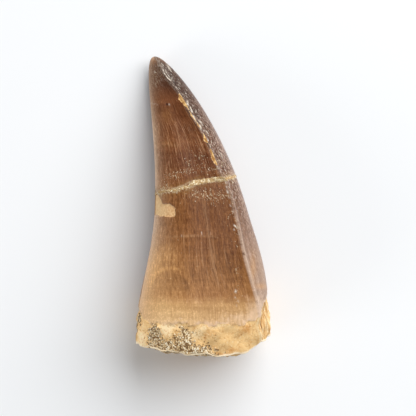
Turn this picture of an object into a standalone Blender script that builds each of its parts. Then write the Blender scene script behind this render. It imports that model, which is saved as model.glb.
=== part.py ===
"""A fossil mosasaur tooth with a broken piece of its root, lying on its back.

Metres, +Z up. X runs across the tooth and Y from the root to the tip. The origin is on the surface that the
tooth lies on, under the middle of its box. A section across Y is an oval that a flatter front face cuts back on
its upper side. That face ends in a sharp ridge, the front carina, and turns are measured round the section from
there: up over the front face first, then down the left edge, along the back, and up the right edge.
"""

import math

import bmesh
import bpy
import numpy as np

MM = 0.001
DEG = math.pi / 180

# The overall form. "From the tip" is a distance along Y.
LENGTH = 50 * MM
HALF_WIDTH = 11.0 * MM
TAPER = 0.533  # the half width goes with this power of the distance from the tip
FLARE = 0.75 * MM  # extra half width where the crown widens into the root
FLARE_START, FLARE_END = 26 * MM, 44 * MM
STRAIGHT_START = 45.5 * MM  # no wider from here to the broken end
ROOT_CENTRE = 0.2 * MM
TIP_LEAN = 8.27 * MM  # the tip leans to -X
LEAN_LENGTH, LEAN_POWER = 34 * MM, 1.98
TIP_ROUNDNESS, ROOT_ROUNDNESS = 0.9, 0.73  # the oval's height over its width
OVAL_POWER = 2.2

# How the back lies on the surface
BACK_ARCH = 1.1 * MM
REST_AT_TIP, REST_AT_ROOT = 0.35 * MM, 0.8 * MM  # taken off flat where the back touches
TIP_RISE, TIP_RISE_LENGTH = 2.4 * MM, 5 * MM

# The front face and the two carinae
FACE_CUT, FACE_SPAN = 0.19, 108 * DEG  # the most that the oval's radius loses, and over which turn
SIDE_CUT, SIDE_SPAN = 0.03, 46 * DEG  # the same for the narrow right side
SWELL, SWELL_TURN, SWELL_POWER = 0.5 * MM, -50 * DEG, 6  # the right side swells out above the root
SWELL_FROM_TIP, SWELL_LENGTH = 36 * MM, 6.5 * MM
RIDGE_HEIGHT, RIDGE_WIDTH = 0.3 * MM, 0.5 * MM
BACK_RIDGE_TURN, BACK_RIDGE_SHARE = 150 * DEG, 0.8
RIDGE_FADE = 5 * MM  # the ridges fade out this far from the tip
CARINA_AT_MEND, CARINA_TO_ROOT = 46 * DEG, -10 * DEG  # up from +X at the mend, and the change from there
CARINA_TO_TIP, CARINA_AT_TIP = 12 * DEG, 24 * DEG
ROOT_TURN_START, ROOT_TURN_LENGTH = 32 * MM, 12 * MM  # from the tip
TIP_TURN_LENGTH, TIP_BEND_START, TIP_BEND_LENGTH = 19 * MM, 10 * MM, 9 * MM

# The mend across the crown: a bead of filler in a groove, above which the crown is set on with a slight twist
MEND_Y = 27.85 * MM
MEND_SLOPE, MEND_SLOPE_TURN = 0.85 * MM, -20 * DEG
MEND_STEP, MEND_STEP_TURN, MEND_STEP_SHARPNESS = 0.42 * MM, 54 * DEG, 5.0
MEND_CLIMB, MEND_CLIMB_TURN, MEND_CLIMB_POWER = 0.8 * MM, -60 * DEG, 6  # it climbs over the right side
MEND_TWIST = 8 * DEG
GROOVE_DEPTH, GROOVE_HALF_WIDTH = 0.6 * MM, 0.6 * MM
FILLER_HALF_WIDTH, FILLER_RISE = 0.4 * MM, 0.16 * MM
GAP = 0.3 * MM  # between the tooth and what fills its hollows

# Lost enamel: a row of chips along the front carina, and a patch below the mend
CHIP_DEPTH, CHIP_WIDTH = 0.3 * MM, 0.8 * MM
CHIPS_START, CHIPS_END = 32.3 * MM, 43.6 * MM
CHIP_SHARE = 0.62
CHIP_WAVES = ((0.22, 0.55 * MM, 0), (0.16, 0.23 * MM, 1))  # how their width varies: share, wave and phase
PATCH_X, PATCH_Y = -6.6 * MM, 24.7 * MM
PATCH_HALF_WIDTH, PATCH_HALF_HEIGHT = 1.75 * MM, 1.45 * MM
PATCH_DEPTH, PATCH_SLOPE = 0.28 * MM, 0.25
PATCH_TURNS = (60 * DEG, 145 * DEG)
PATCH_EDGE = 0.24  # how wide its sloping edge is, as a share of its half size

# The root
ENAMEL_EDGE = 5.1 * MM  # on the front, from the broken end
ENAMEL_STEP, STEP_WIDTH = 0.16 * MM, 0.3 * MM
RIGHT_CLIMB, RIGHT_CLIMB_TURN, RIGHT_CLIMB_POWER = 6.8 * MM, -60 * DEG, 7  # how the enamel's edge climbs
LEFT_CLIMB, LEFT_CLIMB_TURN, LEFT_CLIMB_POWER = 2.8 * MM, 165 * DEG, 6
CORNER_X, CORNER_SLOPE = 6.2 * MM, 0.6  # the break cuts the right corner off
BREAK_RISE, BREAK_RISE_X, BREAK_RISE_POWER = 1.25 * MM, 2 * MM, 1.6  # and rises to the left from here
BREAK_ROUGHNESS, ROOT_ROUGHNESS = 0.18 * MM, 0.1 * MM
# share, waves in X and Z, phase
BREAK_WAVES = ((1, 1300, 500, 0), (1, -900, 1800, 1), (0.6, 2900, 1700, 0))
ROOT_WAVES = ((5, 900), (9, -1500), (17, 2300))  # round the root and along it

# The lobes of the matrix on the root: place across and along, radius across and along, and depth
LOBES = (
    (-9.3 * MM, 1.0 * MM, 3.3 * MM, 4.4 * MM, 4.6 * MM),
    (-2.9 * MM, 0.2 * MM, 2.7 * MM, 4.8 * MM, 6.0 * MM),
    (-3.6 * MM, -1.2 * MM, 8.2 * MM, 3.9 * MM, 8.2 * MM),
)
LOBE_TURNS, LOBE_SAMPLES = 140 * DEG, 200  # the front is measured this far round from the carina
LOBE_SEGMENTS, LOBE_RINGS = 28, 14

# The mesh
FINE_TURNS = np.array((0, 1.8, 4.2, 8)) * DEG  # to each side of the front carina
FACE_SEGMENTS, BACK_SEGMENTS = 20, 26
END_RINGS, ROOT_RINGS, CROWN_RINGS, TIP_RINGS = 7, 6, 18, 20
TIP_SPACING = 1.7
NEAR_END = 3 * MM  # where the root's outline is measured for its broken end
LOBE_MEASURE = 2 * MM  # and for the height of the matrix
SHARP_ANGLE = 32 * DEG


def ramp(x):
    """0 below 0, 1 above 1, and an S curve between them."""
    x = np.clip(x, 0, 1)
    return x * x * (3 - 2 * x)


def hump(x):
    """0 at 0 and 1, steep at first, and 1 at a third."""
    x = np.clip(x, 0, 1)
    return 27 / 4 * x * (1 - x) ** 2


def lobe(turn, power):
    """1 where the turn is 0, falling to 0 on the opposite side."""
    return ((1 + np.cos(turn)) / 2) ** power


def ridge(arc):
    return RIDGE_HEIGHT * np.exp(-np.abs(arc) / RIDGE_WIDTH)


def half_width(from_tip):
    from_tip = np.minimum(from_tip, STRAIGHT_START)
    flare = FLARE * ramp((from_tip - FLARE_START) / (FLARE_END - FLARE_START))
    return HALF_WIDTH * (from_tip / LENGTH) ** TAPER + flare


def half_height(from_tip):
    share = np.sqrt(from_tip / LENGTH)
    return half_width(from_tip) * (TIP_ROUNDNESS + (ROOT_ROUNDNESS - TIP_ROUNDNESS) * share)


def centre_x(from_tip):
    return ROOT_CENTRE - TIP_LEAN * np.clip(1 - from_tip / LEAN_LENGTH, 0, 1) ** LEAN_POWER


def back_height(from_tip):
    """The lowest point of a section, above the surface that the tooth lies on."""
    along = np.clip((from_tip - TIP_RISE_LENGTH) / (LENGTH - TIP_RISE_LENGTH), 0, 1)
    rise = np.clip(1 - from_tip / TIP_RISE_LENGTH, 0, 1) ** 2
    flat = REST_AT_TIP + (REST_AT_ROOT - REST_AT_TIP) * from_tip / LENGTH
    return BACK_ARCH * np.sin(math.pi * along) + TIP_RISE * rise - flat


def mend_line(turn):
    step = np.tanh(MEND_STEP_SHARPNESS * np.sin(turn - MEND_STEP_TURN))
    climb = lobe(turn - MEND_CLIMB_TURN, MEND_CLIMB_POWER)
    return MEND_Y + MEND_SLOPE * np.cos(turn - MEND_SLOPE_TURN) - MEND_STEP * step + MEND_CLIMB * climb


def enamel_line(turn):
    right = RIGHT_CLIMB * lobe(turn - RIGHT_CLIMB_TURN, RIGHT_CLIMB_POWER)
    left = LEFT_CLIMB * lobe(turn - LEFT_CLIMB_TURN, LEFT_CLIMB_POWER)
    return ENAMEL_EDGE + right + left


def break_line(x, z):
    """The broken end of the root, as a distance along Y for each place across the root."""
    corner = CORNER_SLOPE * np.clip(x - CORNER_X, 0, None)
    left = BREAK_RISE * (np.clip(BREAK_RISE_X - x, 0, None) / HALF_WIDTH) ** BREAK_RISE_POWER
    rough = sum(share * np.sin(in_x * x + in_z * z + phase) for share, in_x, in_z, phase in BREAK_WAVES)
    return left + corner + BREAK_ROUGHNESS * (1 + rough)


def carina_angle(from_tip, above_mend):
    to_root = CARINA_TO_ROOT * ramp((from_tip - ROOT_TURN_START) / ROOT_TURN_LENGTH)
    to_tip = CARINA_TO_TIP * (1 - from_tip / TIP_TURN_LENGTH)
    to_tip = to_tip + CARINA_AT_TIP * ramp((TIP_BEND_START - from_tip) / TIP_BEND_LENGTH)
    joined = ramp(0.5 + above_mend / (2 * FILLER_HALF_WIDTH))
    return CARINA_AT_MEND + to_root * (1 - joined) + (MEND_TWIST + to_tip) * joined


def lost_enamel(turn, arc, x, y):
    """How deep the surface lies where enamel is gone."""
    ragged = CHIP_SHARE + sum(share * np.sin(y / wave + phase) for share, wave, phase in CHIP_WAVES)
    along = ramp((y - CHIPS_START) / MM) * ramp((CHIPS_END - y) / MM)
    across = ramp((arc + 0.15 * MM) / (0.2 * MM)) * ramp((CHIP_WIDTH * ragged - arc) / (0.25 * MM))
    chips = CHIP_DEPTH * along * across
    beside = np.abs(x - PATCH_X) / PATCH_HALF_WIDTH
    level = np.abs(y - PATCH_Y - PATCH_SLOPE * (PATCH_X - x)) / PATCH_HALF_HEIGHT
    in_front = (turn > PATCH_TURNS[0]) * (turn < PATCH_TURNS[1])
    patch = PATCH_DEPTH * ramp(0.5 + (1 - np.maximum(beside, level)) / PATCH_EDGE) * in_front
    return chips + patch


def outside(turn, y, lift=None):
    """Points of the tooth's outside at these turns and distances from the broken end.

    With a lift they lie that far off the surface as it was before it was grooved for the filler.
    """
    from_tip = LENGTH - y
    above_mend = y - mend_line(turn)
    angle = carina_angle(from_tip, above_mend) + turn
    width, height = half_width(from_tip), half_height(from_tip)
    cosine, sine = np.cos(angle), np.sin(angle)
    oval = (np.abs(cosine) ** OVAL_POWER + np.abs(sine) ** OVAL_POWER) ** (-1 / OVAL_POWER)
    oval = oval * (1 - FACE_CUT * hump(turn / FACE_SPAN) - SIDE_CUT * hump(-turn / SIDE_SPAN))
    out_x, out_z = width * oval * cosine, height * oval * sine
    radius = np.hypot(out_x, out_z)

    arc = turn * radius
    carinae = ridge(arc) + BACK_RIDGE_SHARE * ridge((turn - BACK_RIDGE_TURN) * radius)
    root = ramp((enamel_line(turn) - y) / STEP_WIDTH + 0.5)
    lumps = sum(np.sin(across * turn + along * y) for across, along in ROOT_WAVES)
    relief = ramp(from_tip / RIDGE_FADE) * carinae + root * (ROOT_ROUGHNESS * lumps - ENAMEL_STEP)
    swell = SWELL * lobe(turn - SWELL_TURN, SWELL_POWER)
    relief = relief + swell * np.exp(-(((from_tip - SWELL_FROM_TIP) / SWELL_LENGTH) ** 2))
    if lift is None:
        groove = GROOVE_DEPTH * ramp(2 - 2 * np.abs(above_mend) / GROOVE_HALF_WIDTH)
        relief = relief - groove - lost_enamel(turn, arc, centre_x(from_tip) + out_x, y)
    else:
        relief = relief + lift

    grow = 1 + relief / radius
    x = centre_x(from_tip) + out_x * grow
    return np.stack((x, y - LENGTH / 2, back_height(from_tip) + height + out_z * grow), axis=-1)


def all_turns():
    fine = FINE_TURNS[-1]
    turns = np.concatenate(
        (
            FINE_TURNS,
            np.linspace(fine, BACK_RIDGE_TURN, FACE_SEGMENTS + 1)[1:],
            np.linspace(BACK_RIDGE_TURN, 2 * math.pi - fine, BACK_SEGMENTS + 1)[1:-1],
            2 * math.pi - FINE_TURNS[:0:-1],
        )
    )
    return (turns + math.pi) % (2 * math.pi) - math.pi


def tooth_rings():
    """Rings of points: outwards over the broken end of the root, then up to the tip."""
    turn = all_turns()
    near_end = outside(turn, np.full(len(turn), NEAR_END))
    end = break_line(near_end[:, 0], near_end[:, 2])
    edge = outside(turn, end)
    middle = edge.mean(axis=0)
    rings = []
    for share in np.arange(1, END_RINGS) / END_RINGS:
        ring = middle + (edge - middle) * share
        ring[:, 1] = break_line(ring[:, 0], ring[:, 2]) - LENGTH / 2
        rings.append(ring)

    enamel, mend = enamel_line(turn), mend_line(turn)
    half_step = STEP_WIDTH / 2
    heights = [end + (enamel - half_step - end) * share for share in np.linspace(0, 1, ROOT_RINGS)]
    low, high = enamel + half_step, mend - GROOVE_HALF_WIDTH
    heights += [low + (high - low) * share for share in np.linspace(0, 1, CROWN_RINGS)]
    heights += [mend + GROOVE_HALF_WIDTH * share for share in (-0.5, 0, 0.5)]
    left = LENGTH - mend - GROOVE_HALF_WIDTH
    heights += [LENGTH - left * (1 - share) ** TIP_SPACING for share in np.arange(TIP_RINGS) / TIP_RINGS]
    return rings + [outside(turn, height) for height in heights]


def add_rings(bm, rings, closed=False):
    """Bridges each ring of points to the next, and the last to the first if closed, and returns their edges."""
    loops = []
    for ring in rings:
        verts = [bm.verts.new(point) for point in ring]
        loops.append([bm.edges.new(pair) for pair in zip(verts, verts[1:] + verts[:1])])
    for lower, upper in zip(loops, loops[1:] + (loops[:1] if closed else [])):
        bmesh.ops.bridge_loops(bm, edges=lower + upper)
    return loops


def cap_ring(bm, edges, point):
    """Closes a ring with a fan that meets at a point."""
    face = bmesh.ops.edgeloop_fill(bm, edges=edges)["faces"]
    centre = bmesh.ops.poke(bm, faces=face)["verts"][0]
    centre.co = point


def rest_on_surface(bm):
    """Takes off what is below Z 0, and closes the openings with flat faces."""
    everything = bm.verts[:] + bm.edges[:] + bm.faces[:]
    up = (0, 0, 1)
    origin = (0, 0, 0)
    cut = bmesh.ops.bisect_plane(bm, geom=everything, dist=1e-7, plane_co=origin, plane_no=up, clear_inner=True)
    edges = [item for item in cut["geom_cut"] if isinstance(item, bmesh.types.BMEdge)]
    bmesh.ops.holes_fill(bm, edges=edges)


def to_mesh(bm, name):
    bmesh.ops.recalc_face_normals(bm, faces=bm.faces)
    mesh = bpy.data.meshes.new(name)
    bm.to_mesh(mesh)
    bm.free()
    return mesh


def tooth_mesh():
    bm = bmesh.new()
    rings = tooth_rings()
    loops = add_rings(bm, rings)
    end = rings[0].mean(axis=0)
    end[1] = break_line(end[0], end[2]) - LENGTH / 2
    cap_ring(bm, loops[0], end)
    cap_ring(bm, loops[-1], outside(np.zeros(1), np.array([LENGTH - 1e-9]))[0])
    rest_on_surface(bm)
    return to_mesh(bm, "tooth")


def filler_mesh():
    """A band round the crown, whose outline across is a low dome over a narrower foot."""
    turn = all_turns()
    foot = GAP - GROOVE_DEPTH
    outline = ((-1, 0), (-0.5, FILLER_RISE), (0.5, FILLER_RISE), (1, 0), (0.5, foot), (-0.5, foot))
    bm = bmesh.new()
    line = mend_line(turn)
    rings = [outside(turn, line + FILLER_HALF_WIDTH * along, lift) for along, lift in outline]
    add_rings(bm, rings, closed=True)
    return to_mesh(bm, "filler")


def lobe_mesh(place, gap=0.0):
    """An ellipsoid round a spot on the front of the root, smaller than the lobe by the gap."""
    x, y, radius_x, radius_y, depth = place
    turn = np.linspace(0, LOBE_TURNS, LOBE_SAMPLES)
    front = outside(turn, np.full(LOBE_SAMPLES, LOBE_MEASURE))
    level = front[np.abs(front[:, 0] - x).argmin(), 2]
    bm = bmesh.new()
    bmesh.ops.create_uvsphere(bm, u_segments=LOBE_SEGMENTS, v_segments=LOBE_RINGS, radius=1)
    bmesh.ops.scale(bm, vec=(radius_x - gap, radius_y - gap, depth - gap), verts=bm.verts)
    bmesh.ops.translate(bm, vec=(x, y - LENGTH / 2, level), verts=bm.verts)
    return to_mesh(bm, "lobe")


def add_object(name, mesh):
    item = bpy.data.objects.new(name, mesh)
    bpy.context.scene.collection.objects.link(item)
    return item


def add_helper(name, mesh):
    helper = add_object(name, mesh)
    helper.hide_render = True
    helper.display_type = "WIRE"
    return helper


def add_boolean(item, operation, other):
    modifier = item.modifiers.new(f"{operation.lower()} {other.name}", "BOOLEAN")
    modifier.operation = operation
    modifier.solver = "EXACT"
    modifier.object = other


def finish(item, colour, roughness):
    material = bpy.data.materials.new(item.name)
    material.use_nodes = True
    shader = material.node_tree.nodes["Principled BSDF"]
    shader.inputs["Base Color"].default_value = (*colour, 1)
    shader.inputs["Roughness"].default_value = roughness
    shader.inputs["Metallic"].default_value = 0
    item.data.materials.append(material)
    item.data.shade_smooth()
    item.data.set_sharp_from_angle(angle=SHARP_ANGLE)


def build_tooth():
    tooth = add_object("tooth", tooth_mesh())
    for number, place in enumerate(LOBES, 1):
        add_boolean(tooth, "DIFFERENCE", add_helper(f"hollow {number}", lobe_mesh(place)))
    finish(tooth, (0.32, 0.16, 0.075), 0.35)


def build_filler():
    finish(add_object("filler", filler_mesh()), (0.6, 0.42, 0.24), 0.85)


def build_matrix():
    first, *others = [lobe_mesh(place, GAP) for place in LOBES]
    matrix = add_object("matrix", first)
    for number, mesh in enumerate(others, 2):
        add_boolean(matrix, "UNION", add_helper(f"filling {number}", mesh))
    add_boolean(matrix, "INTERSECT", add_helper("whole root", tooth_mesh()))
    finish(matrix, (0.42, 0.3, 0.16), 0.95)


def middle_over_origin():
    """Moves everything across the surface, until the middle of the tooth's box is over the origin."""
    bpy.context.view_layer.update()
    tooth = bpy.data.objects["tooth"].evaluated_get(bpy.context.evaluated_depsgraph_get())
    corners = np.array(tooth.bound_box)
    middle = (corners.min(axis=0) + corners.max(axis=0)) / 2
    for item in bpy.data.objects:
        item.location.x -= middle[0]
        item.location.y -= middle[1]


def main():
    for item in list(bpy.data.objects):
        bpy.data.objects.remove(item)
    build_tooth()
    build_filler()
    build_matrix()
    middle_over_origin()


main()
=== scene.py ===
import itertools
import math
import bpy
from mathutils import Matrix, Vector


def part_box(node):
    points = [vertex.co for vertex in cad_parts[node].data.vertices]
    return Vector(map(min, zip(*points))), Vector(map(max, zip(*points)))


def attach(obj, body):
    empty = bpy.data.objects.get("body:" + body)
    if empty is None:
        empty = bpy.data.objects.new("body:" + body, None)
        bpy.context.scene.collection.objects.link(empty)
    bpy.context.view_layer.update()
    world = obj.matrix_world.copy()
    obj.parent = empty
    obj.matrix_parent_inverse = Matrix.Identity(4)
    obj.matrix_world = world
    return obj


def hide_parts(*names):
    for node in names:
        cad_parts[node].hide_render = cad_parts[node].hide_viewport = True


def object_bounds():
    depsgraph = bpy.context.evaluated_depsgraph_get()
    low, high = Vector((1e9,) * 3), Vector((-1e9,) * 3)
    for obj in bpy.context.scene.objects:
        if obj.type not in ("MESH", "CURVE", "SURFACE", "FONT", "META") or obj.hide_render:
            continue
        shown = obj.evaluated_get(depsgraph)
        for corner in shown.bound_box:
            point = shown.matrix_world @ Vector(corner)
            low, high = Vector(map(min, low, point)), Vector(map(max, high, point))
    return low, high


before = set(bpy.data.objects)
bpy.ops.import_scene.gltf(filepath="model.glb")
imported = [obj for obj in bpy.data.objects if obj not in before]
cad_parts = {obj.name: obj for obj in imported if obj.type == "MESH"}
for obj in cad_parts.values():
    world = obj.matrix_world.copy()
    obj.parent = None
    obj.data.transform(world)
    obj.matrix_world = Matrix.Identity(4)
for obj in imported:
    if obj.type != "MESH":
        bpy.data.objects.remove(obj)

from types import SimpleNamespace

import bmesh
import bpy
import numpy as np
from mathutils import Vector

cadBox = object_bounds()
mm = 0.001
degree = math.pi / 180


def ramp(x):  # 0 below 0, 1 above 1, an S curve between
    x = np.clip(x, 0, 1)
    return x * x * (3 - 2 * x)


def hump(x):  # 0 at 0 and at 1, steep at first, 1 at a third
    x = np.clip(x, 0, 1)
    return 27 / 4 * x * (1 - x) ** 2


def lobe(turn, power):  # 1 where the turn is 0, falling to 0 on the opposite side
    return ((1 + np.cos(turn)) / 2) ** power


def spot(x, y, place):  # 1 at a place, falling to a third at its radius across and up
    return np.exp(-(((x - place[0]) / place[2]) ** 2) - ((y - place[1]) / place[3]) ** 2)


def spotSum(spots, x, up):  # spots with a place, radii across and up, and a strength, summed
    return sum(strength * spot(x, up, place) for *place, strength in spots)


# Lines with a start, an end, a half width and a strength, summed. They fade a little towards their ends.
def lineSum(lines, x, up):
    total = 0
    for startX, startUp, endX, endUp, width, strength in lines:
        alongX, alongUp = endX - startX, endUp - startUp
        share = ((x - startX) * alongX + (up - startUp) * alongUp) / (alongX**2 + alongUp**2)
        share = np.clip(share, 0, 1)
        away = np.hypot(x - startX - share * alongX, up - startUp - share * alongUp)
        fade = np.minimum(1, 6 * share * (1 - share) + 0.4)
        total = total + strength * np.exp(-((away / width) ** 2)) * fade
    return total


# A number from -1 to 1 for each corner of a cubic lattice, from a hash of its whole-number place
def latticeValue(corner, seed):
    mixed = corner[..., 0] * 73856093 ^ corner[..., 1] * 19349663 ^ corner[..., 2] * 83492791
    mixed = (mixed ^ (seed + 1) * 2654435761) & 0xFFFFFFFF
    mixed = (mixed ^ (mixed >> 13)) * 1274126177 & 0xFFFFFFFF
    mixed = (mixed ^ (mixed >> 16)) * 2246822519 & 0xFFFFFFFF
    return (mixed >> 8 & 0xFFFF) / 32767.5 - 1


# Soft noise: the lattice's values at the eight corners of a point's cell, blended by an S curve each way
def softNoise(points, size, seed):
    cell = points / size
    corner = np.floor(cell).astype(np.int64)
    inside = ramp(cell - corner)
    total = 0
    for offset in itertools.product((0, 1), repeat=3):
        share = np.prod(np.where(offset, inside, 1 - inside), axis=-1)
        total = total + share * latticeValue(corner + np.array(offset), seed)
    return total


# Soft noise in layers, each half the size and half the height of the last
def layeredNoise(points, size, seed, layers=3):
    return sum(softNoise(points, size / 2**layer, seed + layer) / 2**layer for layer in range(layers)) / 1.6


# Cells: the distance from a point to the nearest of some scattered dots, in cells, and that dot's own number
def cellNoise(points, size, seed):
    cell = points / size
    corner = np.floor(cell).astype(np.int64)
    nearest = np.full(cell.shape[:-1], 9.0)
    number = np.zeros(cell.shape[:-1])
    for offset in itertools.product((-1, 0, 1), repeat=3):
        there = corner + np.array(offset)
        spread = np.stack([latticeValue(there, seed + axis) for axis in range(3)], axis=-1)
        away = np.linalg.norm(there + 0.5 + 0.42 * spread - cell, axis=-1)
        closer = away < nearest
        nearest = np.where(closer, away, nearest)
        number = np.where(closer, latticeValue(there, seed + 7), number)
    return nearest, number


def smoothed(values, times):  # each value of a grid blended with those beside it, some times over
    for turn in range(times):
        padded = np.pad(values, ((1, 1), (1, 1), (0, 0)), mode="edge")
        beside = padded[:-2, 1:-1] + padded[2:, 1:-1] + padded[1:-1, :-2] + padded[1:-1, 2:]
        values = (2 * values + beside) / 6
    return values


def normalsOf(points):  # of a grid, from the differences of its rows and columns
    down, over = np.gradient(points, axis=0), np.gradient(points, axis=1)
    normal = np.cross(down, over)
    return normal / np.maximum(np.linalg.norm(normal, axis=-1, keepdims=True), 1e-12)


def addPiece(name, vertices, faces):  # a mesh in an object at the origin
    mesh = bpy.data.meshes.new(name)
    mesh.from_pydata(vertices.tolist(), [], faces)
    piece = bpy.data.objects.new(name, mesh)
    bpy.context.scene.collection.objects.link(piece)
    return piece


def addAttribute(piece, label, values):  # one row of values for each vertex: a number, or a vector
    kind, field = ("FLOAT", "value") if values.shape[1] == 1 else ("FLOAT_VECTOR", "vector")
    attribute = piece.data.attributes.new(label, kind, "POINT")
    attribute.data.foreach_set(field, values.astype(np.float32).ravel())


# A piece from rows of points. Each row closes on itself. A single point may close the first or last row.
def gridMesh(name, points, attributes, first=None, last=None):
    rows, columns = points.shape[:2]
    here = np.arange(rows * columns).reshape(rows, columns)
    beside = np.roll(here, -1, axis=1)
    faces = np.stack((here[:-1], here[1:], beside[1:], beside[:-1]), axis=-1).reshape(-1, 4).tolist()
    poles = [point for point in (first, last) if point is not None]
    if first is not None:
        faces += [[rows * columns, a, b] for a, b in zip(here[0].tolist(), beside[0].tolist())]
    if last is not None:
        end = rows * columns + len(poles) - 1
        faces += [[end, b, a] for a, b in zip(here[-1].tolist(), beside[-1].tolist())]
    vertices = np.concatenate([points.reshape(-1, 3)] + [np.reshape(pole, (1, 3)) for pole in poles])
    piece = addPiece(name, vertices, faces)
    for label, values in attributes.items():
        values = values.reshape(rows * columns, -1)
        ends = [values[:columns]] * (first is not None) + [values[-columns:]] * (last is not None)
        ends = [np.reshape(end.mean(axis=0), (1, -1)) for end in ends]  # a pole has its row's mean
        addAttribute(piece, label, np.concatenate([values] + ends))
    piece.data.shade_smooth()
    return piece


# A closed piece from two sheets over one grid: the faces whose corners are all wanted, and walls round them
def sheetMesh(name, outer, inner, wanted, attributes):
    rows, columns = wanted.shape
    number = np.arange(rows * columns).reshape(rows, columns)
    quads = np.stack((number[:-1, :-1], number[1:, :-1], number[1:, 1:], number[:-1, 1:]), axis=-1)
    quads = quads.reshape(-1, 4)
    quads = quads[wanted.ravel()[quads].all(axis=1)]
    ends = np.concatenate([quads[:, (side, (side + 1) % 4)] for side in range(4)])
    key, back = ends[:, 0] * rows * columns + ends[:, 1], ends[:, 1] * rows * columns + ends[:, 0]
    ends = ends[~np.isin(key, back)]  # edges that no second face shares
    below = rows * columns
    walls = np.stack((ends[:, 1], ends[:, 0], ends[:, 0] + below, ends[:, 1] + below), axis=-1)
    quads = np.concatenate((quads, quads[:, ::-1] + below, walls))
    used, quads = np.unique(quads, return_inverse=True)
    vertices = np.concatenate((outer.reshape(-1, 3), inner.reshape(-1, 3)))[used]
    piece = addPiece(name, vertices, quads.reshape(-1, 4).tolist())
    for label, values in attributes.items():
        addAttribute(piece, label, np.tile(values.ravel(), 2)[used, None])
    piece.data.shade_smooth()
    return piece


def weld(piece):  # joins the seam and turns the faces outwards
    edit = bmesh.new()
    edit.from_mesh(piece.data)
    bmesh.ops.remove_doubles(edit, verts=edit.verts, dist=1e-7)
    bmesh.ops.recalc_face_normals(edit, faces=edit.faces)
    edit.to_mesh(piece.data)
    edit.free()


class Wire:  # a node's output, on which sums and products become Math nodes
    def __init__(self, paint, socket):
        self.paint, self.socket = paint, socket

    def join(self, operation, first, second):
        return self.paint.node("Math", {"operation": operation}, {0: first, 1: second})

    def __add__(self, other):
        return self.join("ADD", self, other)

    __radd__ = __add__

    def __sub__(self, other):
        return self.join("SUBTRACT", self, other)

    def __rsub__(self, other):
        return self.join("SUBTRACT", other, self)

    def __mul__(self, other):
        return self.join("MULTIPLY", self, other)

    __rmul__ = __mul__

    def __truediv__(self, other):
        return self.join("DIVIDE", self, other)

    def __rtruediv__(self, other):
        return self.join("DIVIDE", other, self)


class Paint:  # the nodes of one material
    def __init__(self, name):
        self.material = bpy.data.materials.new(name)
        self.material.use_nodes = True
        self.tree = self.material.node_tree
        self.shader = self.tree.nodes["Principled BSDF"]

    def node(self, kind, settings=None, sockets=None, out=0):
        made = self.tree.nodes.new("ShaderNode" + kind)
        for label, value in (settings or {}).items():
            if label == "stops":
                self.setStops(made.color_ramp, value)
            else:
                setattr(made, label, value)
        for key, value in (sockets or {}).items():
            self.feed(made.inputs[key], value)
        return Wire(self, made.outputs[out])

    def setStops(self, colourRamp, stops):
        for extra in range(len(stops) - 2):
            colourRamp.elements.new(0.5)
        for element, (place, colour) in zip(colourRamp.elements, stops):
            element.position = place
            element.color = (*colour, 1)

    def feed(self, socket, value):
        if isinstance(value, Wire):
            self.tree.links.new(value.socket, socket)
        elif socket.type == "RGBA":
            socket.default_value = (*value, 1)
        else:
            socket.default_value = value

    def set(self, values):
        for label, value in values.items():
            self.feed(self.shader.inputs[label], value)

    def attribute(self, name, out="Fac"):
        return self.node("Attribute", {"attribute_name": name}, out=out)

    def stretched(self, vector, scale):
        return self.node("VectorMath", {"operation": "MULTIPLY"}, {0: vector, 1: scale})

    def ramped(self, value, stops):
        return self.node("ValToRGB", {"stops": stops}, {0: value})

    def mix(self, share, first, second, blend="MIX"):
        settings = {"data_type": "RGBA", "blend_type": blend, "clamp_factor": True}
        return self.node("Mix", settings, {0: share, 6: first, 7: second}, out=2)

    def noise(self, vector, scale=1.0, detail=2.0, roughness=0.5):
        sockets = {"Vector": vector, "Scale": scale, "Detail": detail, "Roughness": roughness}
        return self.node("TexNoise", {}, sockets)

    def dotGap(self, vector):  # the distance to the nearest of some scattered dots
        return self.node("TexVoronoi", {}, {"Vector": vector, "Scale": 1.0}, out="Distance")

    def between(self, value, low, high):  # 0 at low, 1 at high, an S curve between
        settings = {"interpolation_type": "SMOOTHSTEP"}
        return self.node("MapRange", settings, {0: value, 1: low, 2: high, 3: 0.0, 4: 1.0})

    def place(self):
        return self.node("TexCoord", out="Object")

    def bump(self, height, distance):
        return self.node("Bump", {}, {"Height": height, "Distance": distance, "Strength": 1.0})


class Coat:  # a colour that others are laid over, each by its share
    def __init__(self, paint, colour, tones=()):
        self.paint, self.colour, self.tones = paint, colour, tones

    def over(self, share, colour, blend="MIX"):
        self.colour = self.paint.mix(share, self.colour, colour, blend)

    def times(self, share, colour):
        self.over(share, colour, "MULTIPLY")

    # Multiplies by a bright tone where a pattern is high, then by a dark one where it is low. Each part gives
    # the pattern's value where that starts, its value where it is full, and a share.
    def grain(self, pattern, parts, where=1):
        for (start, full, share), tone in zip(parts, self.tones):
            self.times(self.paint.between(pattern, start, full) * (where * share), tone)


def srgb(*colour):  # the red, green and blue of a screen colour, 0 to 255, as light
    parts = np.array(colour) / 255
    return tuple(np.where(parts > 0.04, ((parts + 0.055) / 1.055) ** 2.4, parts / 12.92).tolist())


def tints(colours):
    return SimpleNamespace(**{label: srgb(*colour) for label, colour in colours.items()})


# The camera looks straight down. The view's width is measured at the level of the tooth's middle.
camera = {
    "x": 0.79 * mm,
    "y": -0.5 * mm,
    "height": 0.408,
    "viewLevel": 8 * mm,
    "viewWidth": 69.33 * mm,
}

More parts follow.
